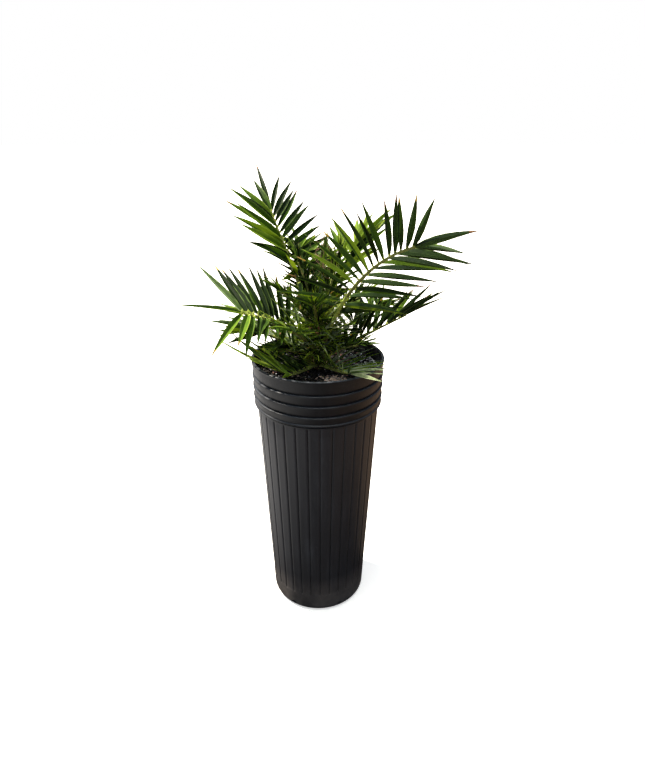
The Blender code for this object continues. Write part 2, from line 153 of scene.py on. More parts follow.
def tubeFaces(paths, rows, around):  # the walls of closed tubes, and a cap at both ends of each
    index = np.arange(paths * rows * around).reshape(paths, rows, around)
    return [wallsOf(index), np.concatenate([index[:, 0, ::-1], index[:, -1]])]


def turned(outline, turns, reach=None):
    # a profile turned about the upright axis: (r cos turn, r sin turn, z), with a pole at both ends
    radius, height = outline[1:-1, 0:1], outline[1:-1, 1:2] + 0 * turns
    radius = reach(radius, height, turns) if reach else radius + 0 * turns
    points = np.stack([radius * np.cos(turns), radius * np.sin(turns), height], -1).reshape(-1, 3)
    points = np.concatenate([points, [[0, 0, outline[0, 1]], [0, 0, outline[-1, 1]]]])
    rows, around = height.shape
    index = np.arange(rows * around).reshape(rows, around)
    following = np.roll(index, -1, axis=1)
    foot = np.stack([following[0], index[0], np.full(around, rows * around)], -1)
    head = np.stack([index[-1], following[-1], np.full(around, rows * around + 1)], -1)
    return points, [wallsOf(index), np.concatenate([foot, head])]


def ripple(x, y, chance, waves, finest, coarsest):
    # a sum of waves in random directions, each as high as it is long, scaled to about -1 to 1
    lengths = np.geomspace(finest, coarsest, waves)
    angles, phases = chance.uniform(0, 2 * np.pi, (2, waves))
    heights = sum(length * np.sin(2 * np.pi * (x * np.cos(a) + y * np.sin(a)) / length + p)
                  for length, a, p in zip(lengths, angles, phases))
    return heights / np.sqrt((lengths ** 2).sum())


# Camera and studio

studio = dict(
    lens=26.05, sensor=36.0, clip=(0.01, 100.0),  # mm, the sensor along the picture's long side, and m
    cameraPlace=(0.0, -0.863, 0.822), pitch=24.85, cameraTurn=-0.52,  # degrees down, and from +Y to the right
    floorSide=60.0, floorColour="#f4f3f1", floorGlow=0.62,
    # the bounce colours are painted light: the yard's shade in front, its sunlit grey at the left and brown
    # at the right
    paintedBounceFront="#34322f", paintedBounceLeft="#a6a8ac", paintedBounceRight="#6e5d4e", paintedBounceEnds=(0.10, 0.50),
    backColour="#ffffff", fillColour="#dbe5f4", fill=0.54)
lamps = dict(  # the sun in W/m2, the others in W; turned in degrees
    key=dict(kind="SUN", power=11.5, width=3.0, colour="#fff5e6", turn=(0, 36, 153)),
    # a low warm light from the yard at the right, and a soft one from overhead that reaches into the crown
    warm=dict(kind="AREA", power=0.75, size=0.7, colour="#ffc79a", place=(0.95, 0.68, 0.30),
              turn=(90, 0, 125.5947)),
    high=dict(kind="AREA", power=15.0, size=0.6, colour="#f6f8ea", place=(0.0, -0.25, 1.75), turn=(0, 0, 0)))


def makeStudio():
    scene = bpy.context.scene
    camera = bpy.data.objects.new("camera", bpy.data.cameras.new("camera"))
    camera.data.lens, camera.data.sensor_width = studio["lens"], studio["sensor"]
    camera.data.clip_start, camera.data.clip_end = studio["clip"]
    camera.location = studio["cameraPlace"]
    camera.rotation_euler = np.radians((90 - studio["pitch"], 0, studio["cameraTurn"]))
    scene.collection.objects.link(camera)
    scene.camera = camera

    half = studio["floorSide"] / 2
    corners = np.array([(-half, -half, 0), (half, -half, 0), (half, half, 0), (-half, half, 0)])
    # pale matt paint, rolled on. Seen straight it is pale; for every other ray its colour is painted yard
    # light, a painted reflection and bounce for the pot and plant: painted shade in front, painted sunlit
    # grey at the left and painted warm brown at the right
    paleFloorPaintedBounce, addFloor = cleared(bpy.data.materials.new("paleFloorPaintedBounce"))
    paint = addFloor("BsdfPrincipled", {
        "Base Color": studio["floorColour"], "Roughness": 0.85, "Specular IOR Level": 0.1,
        "Emission Color": studio["floorColour"], "Emission Strength": studio["floorGlow"]})
    place = addFloor("TexCoord").outputs["Object"]
    aside = addFloor("SeparateXYZ", {0: place})
    yard = studio["paintedBounceFront"]
    for hand, colour in ((-1, studio["paintedBounceLeft"]), (1, studio["paintedBounceRight"])):
        ends = np.multiply(hand, studio["paintedBounceEnds"])
        share = addFloor("MapRange", {0: aside, 1: ends[0], 2: ends[1]})
        yard = addFloor("Mix", {"data_type": "RGBA", 0: share, 6: yard, 7: colour}).outputs[2]
    dim = addFloor("BsdfDiffuse", {"Color": yard})

    scene.world, addSky = cleared(bpy.data.worlds.new("studio"))
    back = addSky("Background", {"Color": studio["backColour"]})
    fill = addSky("Background", {"Color": studio["fillColour"], "Strength": studio["fill"]})
    for add, output, thrown, seen in (
            (addFloor, "OutputMaterial", dim, paint), (addSky, "OutputWorld", fill, back)):
        straight = add("LightPath").outputs["Is Camera Ray"]
        both = add("MixShader", {0: straight, 1: thrown, 2: seen})
        add(output, {"Surface": both})
    floor = addPiece("floor", corners, [np.array([[0, 1, 2, 3]])], [paleFloorPaintedBounce], None, smooth=False)

    for name, lamp in lamps.items():
        light = bpy.data.lights.new(name, lamp["kind"])
        light.energy, light.color = lamp["power"], fromHex(lamp["colour"])[:3]
        holder = bpy.data.objects.new(name, light)
        holder.rotation_euler = np.radians(lamp["turn"])
        if lamp["kind"] == "SUN":
            light.angle = math.radians(lamp["width"])
        else:
            light.size, holder.location = lamp["size"], lamp["place"]
        scene.collection.objects.link(holder)
    scene.view_settings.view_transform = "Standard"
    scene.view_settings.look = "None"
    print("camera, floor and lights")


# Nursery pot: injection moulded, with a collar of four bands over thin upright grooves

pot = dict(
    rimRadius=0.1100, collarFootRadius=0.1085, bodyRadii=(0.0856, 0.1034), undersideRadius=0.0763,
    heelHeight=0.0105, bandFeet=(0.0225, 0.0410, 0.0595, 0.0780),  # below the rim
    ring=((0, 0), (0.012, 0), (0.0135, 0.0006), (0.060, 0.0006), (0.0615, 0), (0.070, 0)),  # on the underside
    neckDepth=0.0028, neckDrops=(0.0034, 0.0032, 0.0003),  # the dark slot round the body's top
    bandTuck=0.0026, bandBow=1.3, ledgeRound=0.0014, slotDepth=0.0052, slotHeight=0.0020, rimRound=0.0018,
    footBead=0.0015, lipRound=0.0012, grooves=32, grooveDepth=0.0018, grooveHalf=0.9, grooveFoot=0.036,
    grooveRunOut=0.004, grooveHead=0.004, grooveTurn=2.0,  # degrees
    grooveColumns=7, faceColumns=4,  # of faces across each
    innerRim=0.1055, innerTop=0.0990, innerFoot=0.0805, floor=0.005, floorRound=0.004, lip=0.003,
    drains=6, drainSides=20, drainRadius=0.0048, drainHeight=0.0086, drainReach=(0.068, 0.095),
    drainTurn=-2.5, creaseFrom=50)
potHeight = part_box("pot")[1].z
collarFoot = potHeight - pot["bandFeet"][-1]
shoulder = collarFoot - pot["lip"]  # of the inner wall


def roundCorner(r, z, radius, start, end, steps):
    # centre + radius * (cos, sin) over an even run of angles
    angle = np.radians(np.linspace(start, end, steps))
    return np.stack([r + radius * np.cos(angle), z + radius * np.sin(angle)], 1)


def bodyRadius(z):
    return between(pot["bodyRadii"], z / collarFoot)


def innerRadius(z):  # a straight taper up to the shoulder, and the wider lip above it
    foot, floor = pot["innerFoot"], pot["floor"]
    low = foot + (pot["innerTop"] - foot) * (z - floor) / (shoulder - floor)
    share = (z - shoulder) / (potHeight - pot["lip"] - shoulder)
    return np.where(z < shoulder, low, between((pot["innerTop"], pot["innerRim"]), share))


def potOutline():
    # radius and height from the middle of the underside, up the outside and down the inside to the floor
    angle = np.radians(np.linspace(-90, 0, 9))
    under, high = pot["undersideRadius"], pot["heelHeight"]
    heel = np.stack([under + (bodyRadius(high) - under) * np.cos(angle), high * (1 + np.sin(angle))], 1)
    foot, head = pot["grooveFoot"], collarFoot - pot["grooveHead"]
    heights = np.concatenate([np.linspace(*run) for run in (
        (0.014, foot - 0.002, 4), (foot, foot + 0.006, 8), (foot + 0.014, head - 0.012, 24),
        (head - 0.006, head, 8))])
    top = pot["bodyRadii"][1]
    neck = zip((top, top - pot["neckDepth"], top - pot["neckDepth"]), pot["neckDrops"])
    neck = [(radius, collarFoot - drop) for radius, drop in neck]
    runs = [pot["ring"], heel, np.stack([bodyRadius(heights), heights], 1), neck]

    bead, ledge, tuck, slot = pot["footBead"], pot["ledgeRound"], pot["bandTuck"], pot["slotDepth"]
    depths = (*reversed(pot["bandFeet"]), 0.0)
    for below, above in zip(depths, depths[1:]):
        radius = between((pot["rimRadius"], pot["collarFootRadius"]), below / depths[0])
        low, high = potHeight - below, potHeight - above
        # the wall flares upward from its tucked-in foot; above it lie the rounded ledge and the dark slot
        if below == depths[0]:
            runs.append(roundCorner(radius - bead - 0.0006, low + bead, bead, -90, 50, 8))
            low = low + 2 * bead
        else:
            runs.append([(radius - tuck - 0.0012, low), (radius - tuck - 0.0003, low + 0.0003)])
        top = high - (pot["slotHeight"] + ledge if above else pot["rimRound"])
        up = np.linspace(0, 1, 7)
        flare = radius - tuck * (1 - up) ** pot["bandBow"]
        runs.append(np.stack([flare, low + 0.0009 + (top - low - 0.0009) * up], 1))
        if above:
            runs.append(roundCorner(radius - ledge, top, ledge, 15, 90, 6))
            runs.append([(radius - slot, top + ledge + 0.0001), (radius - slot, high - 0.0001)])
    outer, inner = pot["rimRound"], pot["lipRound"]
    runs.append(roundCorner(pot["rimRadius"] - outer, potHeight - outer, outer, 12, 90, 6))
    runs.append(roundCorner(pot["innerRim"] + inner, potHeight - inner, inner, 90, 180, 5))
    heights = np.linspace(potHeight - pot["lip"], shoulder, 10)
    runs.append(np.stack([innerRadius(heights), heights], 1))
    runs.append([(pot["innerFoot"], pot["floor"] + pot["floorRound"]),
                 (pot["innerFoot"] - pot["floorRound"], pot["floor"]), (0, pot["floor"])])
    return np.concatenate([np.asarray(run, float) for run in runs])


def grooved(radius, height, turns):
    # flat faces between grooves: r cos(half) / cos(turn from the face's middle), less a cosine dent at each
    step = 2 * np.pi / pot["grooves"]
    first = math.radians(-90 + pot["grooveTurn"])
    fromGroove = (turns - first + step / 2) % step - step / 2
    flat = math.cos(step / 2) / np.cos((turns - first) % step - step / 2)
    half = math.radians(pot["grooveHalf"])
    dent = pot["grooveDepth"] * 0.5 * (1 + np.cos(np.pi * np.clip(fromGroove / half, -1, 1)))
    head, run = collarFoot - pot["grooveHead"], pot["grooveRunOut"]
    there = smoothStep((height - pot["grooveFoot"]) / run) * smoothStep((head - height) / run)
    there = there * (radius > bodyRadius(height) - 0.0005)  # only on the outside
    return radius * (1 + (flat - 1) * there) - dent * there


def potPlastic():
    # carbon-black polypropylene, injection moulded: a dim satin skin, greyed by dust and dried watering
    # marks, with a painted pale highlight on what faces up
    material, add = cleared(bpy.data.materials.new("blackPolypropylene"))
    place = add("TexCoord").outputs["Object"]
    runs = add("Mapping", {"Scale": (1, 1, 0.08), "Vector": place})
    streaks = add("TexNoise", {"Scale": 95.0, "Detail": 5.0, "Roughness": 0.6, "Vector": runs})
    clouds = add("TexNoise", {"Scale": 14.0, "Detail": 6.0, "Roughness": 0.65, "Vector": place})
    specks = add("TexVoronoi", {"Scale": 210.0, "Vector": place})
    grain = add("TexNoise", {"Scale": 900.0, "Detail": 2.0, "Vector": place})
    normal = add("NewGeometry").outputs["Normal"]
    upward = add("SeparateXYZ", {0: normal}).outputs["Z"]
    height = add("SeparateXYZ", {0: place}).outputs["Z"]
    colour, covers = "#2b2c30", []
    for source, low, high, cloudy, share, tint in (
            (streaks, 0.42, 0.75, (0.35, 0.7), 0.60, "#404349"),  # dried watering marks
            (height, potHeight - 0.084, potHeight - 0.079, None, 0.66, "#0d0e10"),  # the collar, darker all round
            (upward, 0.25, 0.9, (0.3, 0.6), 0.22, "#6f7783"),  # dust, and a painted pale highlight on what faces up
            (height, 0.080, 0.012, (0.3, 0.6), 0.70, "#716b67"),  # paler and warmer towards the foot
            (specks, 0.13, 0.05, (0.52, 0.66), 0.40, "#84848a")):  # specks of dust
        cover = add("MapRange", {0: source, 1: low, 2: high, 4: share})
        if cloudy:
            patchy = add("MapRange", {0: clouds, 1: cloudy[0], 2: cloudy[1]})
            cover = add("Math", {"operation": "MULTIPLY", 0: cover, 1: patchy})
        covers.append(cover)
        colour = add("Mix", {"data_type": "RGBA", 0: cover, 6: colour, 7: tint}).outputs[2]
    rough = add("MapRange", {0: covers[0], 1: 0.0, 2: 0.42, 3: 0.36, 4: 0.52})
    relief = add("Math", {"operation": "ADD", 0: grain, 1: streaks})
    bump = add("Bump", {"Strength": 0.25, "Distance": 0.0004, "Height": relief})
    plastic = add("BsdfPrincipled", {
        "IOR": 1.49, "Specular IOR Level": 0.24, "Base Color": colour, "Roughness": rough, "Normal": bump})
    add("OutputMaterial", {0: plastic})
    return material


def makePot():
    step = 2 * np.pi / pot["grooves"]
    half = math.radians(pot["grooveHalf"])
    across = np.linspace(-half, half, pot["grooveColumns"])
    flat = np.linspace(half, step - half, pot["faceColumns"] + 2)[1:-1]
    starts = math.radians(-90 + pot["grooveTurn"]) + step * np.arange(pot["grooves"])[:, None]
    turns = (starts + np.concatenate([across, flat])[None, :]).ravel()
    points, faces = turned(potOutline(), turns, grooved)
    piece = addPiece("nursery_pot", points, faces, [potPlastic()], "pot", ["pot"])

    count, sides = pot["drains"], pot["drainSides"]
    hole = pot["drainRadius"] * outward(np.linspace(0, 2 * np.pi, sides, endpoint=False))[:, :2]
    turn = np.radians(-90 + pot["drainTurn"] + 180 / count + 360 / count * np.arange(count))
    side = np.stack([np.sin(turn), -np.cos(turn), 0 * turn], -1)
    reach = np.array(pot["drainReach"])[:, None]
    centres = outward(turn)[:, None, :] * reach + [0, 0, pot["drainHeight"]]
    ups = np.broadcast_to([0.0, 0.0, 1.0], centres.shape)
    tubes = carry(hole[None, None], centres, -np.broadcast_to(side[:, None, :], centres.shape), ups)
    cutter = addPiece("drain_cutter", tubes, tubeFaces(count, 2, sides), [], None, smooth=False)
    cut = piece.modifiers.new("drains", "BOOLEAN")
    cut.operation, cut.solver, cut.object = "DIFFERENCE", "EXACT", cutter
    finished = bpy.data.meshes.new_from_object(piece.evaluated_get(bpy.context.evaluated_depsgraph_get()))
    piece.modifiers.clear()
    piece.data = finished
    bpy.data.objects.remove(cutter)
    finished.shade_smooth()
    finished.set_sharp_from_angle(angle=math.radians(pot["creaseFrom"]))
    print("pot", len(finished.polygons), "faces")


# Potting mix: bark fines and peat, with bark chips and pale grit lying on it

mix = dict(top=0.4550, lump=0.0014, heap=0.0016, clear=0.0012, around=180, rings=64, crumb=0.0007,
           crumbWaves=(26, 0.0035, 0.016), edgeClear=0.004, stemClear=0.0095)
# chips are split from bark: long, and flat as shares of their length; grit is sieved: even. heap gives its
# place, the share of the pieces that lie there, and its width
chips = {
    "bark_chips": dict(count=1700, skin=("darkPineBark", "#0a0706", "#2c201a"), scale=600.0, roughness=0.8,
                       long=(0.004, 0.011), flat=((0.35, 0.7), (0.15, 0.35)), rise=0.0030,
                       heap=None, uneven=0.22),
    # tan chips: weathered bark, with painted sunlight in their pale colours
    "tan_chips": dict(count=210, skin=("weatheredBarkPaintedSun", "#c4a38e", "#f6e2d4"), scale=500.0,
                      roughness=0.75, long=(0.003, 0.008), flat=((0.4, 0.8), (0.25, 0.45)), rise=0.0034,
                      heap=((0.025, -0.044), 0.80, 0.009), uneven=0.22),
    "pink_chips": dict(count=90, skin=("splitPineBark", "#6f4a3e", "#a87a68"), scale=500.0, roughness=0.75,
                       long=(0.004, 0.009), flat=((0.4, 0.7), (0.2, 0.4)), rise=0.0036,
                       heap=((0.045, 0.027), 0.6, 0.010), uneven=0.22),
    "pale_grit": dict(count=420, skin=("paleGrit", "#aeb1b6", "#eef0f4"), scale=700.0, roughness=0.6,
                      long=(0.0018, 0.0045), even=(0.7, 1.0), rise=0.0036,
                      heap=((0.088, 0.030), 0.62, 0.023), uneven=0.15)}
mixEdge = float(innerRadius(mix["top"]))

# bark, peat and grit: crumbs, split or crushed, matt and broken up at the scale of the crumbs
crumbs = dict(detail=6.0, uneven=0.70, band=(0.40, 0.66), lift=0.8, depth=0.0015, stretch=1.0)
# leaf sheath, stalk and fibre: grown in strands along the stem and the leaf, matt, streaked the long way
strands = dict(scale=520.0, detail=5.0, uneven=0.65, band=(0.38, 0.66), lift=0.6, depth=0.0006,
               roughness=0.75)


def mattSkin(name, dark, pale, scale, stretch, detail, uneven, band, lift, depth, roughness):
    # from the dark colour to the pale one over the band of a noise, which also lifts the surface
    material, add = cleared(bpy.data.materials.new(name))
    place = add("TexCoord").outputs["Object"]
    along = add("Mapping", {"Scale": (1, 1, stretch), "Vector": place})
    grain = add("TexNoise", {"Scale": scale, "Detail": detail, "Roughness": uneven, "Vector": along})
    share = add("MapRange", {0: grain, 1: band[0], 2: band[1]})
    colour = add("Mix", {"data_type": "RGBA", 0: share, 6: dark, 7: pale}).outputs[2]
    bump = add("Bump", {"Strength": lift, "Distance": depth, "Height": grain})
    surface = add("BsdfPrincipled", {"Roughness": roughness, "Base Color": colour, "Normal": bump})
    add("OutputMaterial", {0: surface})
    return material


def mixHeight(x, y):
    # the solid's own surface: two low waves and a slight heap at the stem
    lumps = np.sin(61 * x + 1.0) * np.cos(53 * y) + 0.8 * np.sin(97 * y + 41 * x)
    return mix["top"] + mix["lump"] * lumps + mix["heap"] * np.exp(-(x * x + y * y) / 0.0008)


def pebbles(count, sizes, places, chance, uneven):
    # squashed six-sided lumps: two rings and two poles, every corner shifted, then scaled, turned and placed
    ring = np.radians(60) * np.arange(6)
    low = np.stack([np.cos(ring), np.sin(ring), np.full(6, -0.45)], -1)
    high = np.stack([np.cos(ring + 0.5), np.sin(ring + 0.5), np.full(6, 0.45)], -1)
    shape = np.concatenate([low, high, [[0, 0, -0.9], [0, 0, 0.9]]])
    points = (shape + chance.uniform(-uneven, uneven, (count, 14, 3))) * sizes[:, None, :] / 2
    yaw, tilt = chance.uniform(0, 2 * np.pi, count), chance.normal(0, 0.35, count)
    cy, sy, ct, st = np.cos(yaw), np.sin(yaw), np.cos(tilt), np.sin(tilt)
    zero, one = np.zeros(count), np.ones(count)
    level = np.stack([cy, -sy, zero, sy, cy, zero, zero, zero, one], -1).reshape(-1, 3, 3)
    tipped = np.stack([one, zero, zero, zero, ct, -st, zero, st, ct], -1).reshape(-1, 3, 3)
    points = points @ (level @ tipped).transpose(0, 2, 1) + places[:, None, :]
    i = np.arange(6)
    j = (i + 1) % 6
    corners = np.concatenate([np.stack([i, j, j + 6], -1), np.stack([i, j + 6, i + 6], -1),
                              np.stack([j, i, 0 * i + 12], -1), np.stack([i + 6, j + 6, 0 * i + 13], -1)])
    return points, [(corners[None] + 14 * np.arange(count)[:, None, None]).reshape(-1, 3)]


def scattered(count, chance, rise, heap):
    # places on the mix, even over its area, with a share of them heaped about one point
    edge = mixEdge - mix["edgeClear"]
    radius = edge * np.sqrt(chance.uniform((mix["stemClear"] / edge) ** 2, 1, count))
    turn = chance.uniform(0, 2 * np.pi, count)
    x, y = radius * np.cos(turn), radius * np.sin(turn)
    if heap:
        middle, share, width = heap
        heaped = chance.uniform(0, 1, count) < share
        x = np.where(heaped, middle[0] + chance.normal(0, width, count), x)
        y = np.where(heaped, middle[1] + chance.normal(0, width * 0.7, count), y)
    pull = np.clip(edge / np.maximum(np.hypot(x, y), 1e-6), 0, 1)
    x, y = x * pull, y * pull
    return np.stack([x, y, mixHeight(x, y) + rise * chance.uniform(0.1, 1.0, count)], -1)


def makeMix():
    chance = np.random.default_rng(7)
    turns = np.linspace(0, 2 * np.pi, mix["around"], endpoint=False)
    edge, top, foot, floor = mixEdge - mix["clear"], mix["top"], pot["innerFoot"], pot["floor"]
    rings = np.linspace(edge - 0.0006, 0.0, mix["rings"])
    side = [(0, floor + 0.0003), (foot - 0.006, floor + 0.0003), (foot - 0.0013, floor + 0.0045),
            (pot["innerTop"] - 0.0012, shoulder), (edge, top - 0.001)]
    outline = np.concatenate([side, np.stack([rings, 0 * rings + top], -1)])
    points, faces = turned(outline, turns)
    surface = points[:, 2] > top - 0.0001
    x, y = points[surface, 0], points[surface, 1]
    points[surface, 2] = mixHeight(x, y) + mix["crumb"] * ripple(x, y, chance, *mix["crumbWaves"])
    ground = mattSkin("barkAndPeat", "#070605", "#1c1612", scale=420.0, roughness=0.9, **crumbs)
    addPiece("mix_surface", points, faces, [ground], "potting_mix", ["potting_mix"])

    for name, kind in chips.items():
        count = kind["count"]
        skin = mattSkin(*kind["skin"], scale=kind["scale"], roughness=kind["roughness"], **crumbs)
        long = chance.uniform(*kind["long"], (count, 1))
        if "flat" in kind:
            shape = np.stack([np.ones(count)] + [chance.uniform(*part, count) for part in kind["flat"]], -1)
        else:
            shape = chance.uniform(*kind["even"], (count, 3))
        places = scattered(count, chance, kind["rise"], kind["heap"])
        points, faces = pebbles(count, long * shape, places, chance, kind["uneven"])
        addPiece(name, points, faces, [skin], "potting_mix", smooth=False)
    print("mix with", sum(kind["count"] for kind in chips.values()), "chips and grains")


# Stem: the overlapping sheaths of old leaves, wrapped in brown fibre

stem = dict(radii=(0.0092, 0.0046), around=96, rows=110, sheaths=11, spiral=2, sheathDepth=0.0011, ridges=37,
            ridgeHeight=0.00022, fibres=240, fibreRadius=0.00020, fibreLength=(0.010, 0.030), fibreCurl=0.22)
stemFoot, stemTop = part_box("stem")[0].z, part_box("stem")[1].z


def stemRadius(z):
    return between(stem["radii"], (z - stemFoot) / (stemTop - stemFoot))


def sheathed(radius, height, turns):
    # a spiral of overlapping sheaths, each thickest at its own top, under fine upright ridges
    t = (height - stemFoot) / (stemTop - stemFoot)
    phase = (t * stem["sheaths"] + turns * stem["spiral"] / (2 * np.pi)) % 1.0
    edge = smoothStep((1 - phase) / 0.12) * phase
    ridge = np.sin(stem["ridges"] * turns + 3 * np.sin(240 * height)) + 0.6 * np.sin(61 * turns - 90 * height)
    return radius - stem["sheathDepth"] * (1 - edge) * 0.8 + stem["ridgeHeight"] * ridge


def threads(starts, outs, lengths, curl, thick, chance, rows=12):
    # fine curling hairs: start + length * (s * out + curl * s * (sin, cos) across it), three-sided, tapering
    count = len(starts)
    s = np.linspace(0, 1, rows)[None, :, None]
    outs = unit(outs)
    helper = unit(np.cross(outs, np.array([0.31, 0.17, 0.93])))
    other = np.cross(outs, helper)
    phase = chance.uniform(0, 2 * np.pi, (count, 1, 1))
    wind = chance.uniform(2.0, 6.0, (count, 1, 1))
    swing = (curl * chance.uniform(0.5, 1.5, (count, 1, 1))) * s
    side = np.sin(wind * s + phase) - np.sin(phase)
    lift = np.cos(wind * s + phase) - np.cos(phase)
    length = lengths[:, None, None]
    centres = (starts[:, None] + length * s * outs[:, None]
               + length * swing * (side * helper[:, None] + lift * other[:, None]))
    along = unit(np.gradient(centres, axis=1))
    sides = unit(np.cross(along, np.array([0.2, 0.5, 0.84])))
    ups = np.cross(along, sides)
    corners = outward(np.radians([0, 120, 240]))[:, :2]
    profile = thick * (1 - 0.6 * s[..., None]) * corners[None, None]
    return carry(profile, centres, sides, ups), tubeFaces(count, rows, 3)


def fromStem(z, turn, sunk):  # points a little inside the stem's skin
    return outward(turn) * (stemRadius(z) - sunk)[:, None] + np.stack([0 * z, 0 * z, z], -1)


def makeStem():
    chance = np.random.default_rng(23)
    turns = np.linspace(0, 2 * np.pi, stem["around"], endpoint=False)
    heights = np.linspace(stemFoot, stemTop, stem["rows"])
    outline = np.concatenate([[(0, stemFoot)], np.stack([stemRadius(heights), heights], -1), [(0, stemTop)]])
    points, faces = turned(outline, turns, sheathed)
    sheath = mattSkin("driedLeafSheath", "#241a10", "#6b5a33", stretch=0.12, **strands)
    addPiece("stem_sheaths", points, faces, [sheath], "stem", ["stem"])

    count = stem["fibres"]
    z = chance.uniform(stemFoot + 0.004, stemTop, count)
    turn = chance.uniform(0, 2 * np.pi, count)
    lean = unit(outward(turn) * chance.uniform(0.15, 0.9, (count, 1)) + np.array([0, 0, 1.0])
                + chance.normal(0, 0.35, (count, 3)))
    points, faces = threads(fromStem(z, turn, 0.0008), lean, chance.uniform(*stem["fibreLength"], count),
                            stem["fibreCurl"], stem["fibreRadius"], chance)
    fibre = mattSkin("sheathFibre", "#3a2614", "#9a7448", stretch=1.0, **strands)
    addPiece("sheath_fibres", points, faces, [fibre], "stem")
    print("stem")


# Fronds. azimuth and rise give the rib's direction at its foot, sweep and the second rise how it bends, and
# roll and twist turn the blade about the rib. The pairs leaves, seeds, lift, broad, face and tones are for
# the right and the left, looking outward: the count of leaflets, the start of their strays, how far they
# rise out of the blade's plane at the first leaflet and the last, their width as a share of the usual, how
# far they turn about their own lines, and the weights of their tones near the stem and at the far end.
# spread is their angle from the rib at the first leaflet and the last, and fan how much nearer the rib
# every second one lies. They stand from bare to until along the rib. first and last are the end leaflets as
# shares of the longest, which grows at longest. wide widens both sides, arch bows each leaflet upward
# between its root and its tip, more adds sets of leaflets that differ as given, and finer adds sets of
# smaller ones between the others.

usualTones = (dict(deep=4, dark=2, fresh=4), dict(deep=3, dark=1, fresh=4, lime=2))
sunlitTones = (dict(fresh=4, lime=3), dict(fresh=3, lime=4, pale=1))
innerTones = (dict(dark=2, deep=2), dict(silver=2, deep=2, fresh=1))
youngTones = (dict(fresh=4, deep=2), dict(lime=4, fresh=4))
frondBase = dict(
    foot=0.50, azimuth=0, sweep=0, rise=(50, 20), length=0.22, roll=0, twist=0, bare=0.25, until=0.985,
    leaves=(11, 11), fan=4, spread=(77, 42), lift=((20, 18), (20, 18)), leaf=0.095, first=0.68, last=0.78,
    longest=0.4, tipLeaf=0.085, wide=1.0, seeds=(1, 2), arch=0.02, broad=(1.0, 1.0), face=(0, 0), more=(),
    finer=0, tones=(usualTones, usualTones), tipTone="fresh")
small = dict(leaves=(6, 6), leaf=0.062, tipLeaf=0.050, finer=3, broad=(0.45, 0.45))  # in the middle
hidden = dict(leaves=(7, 7), finer=1)  # at the back
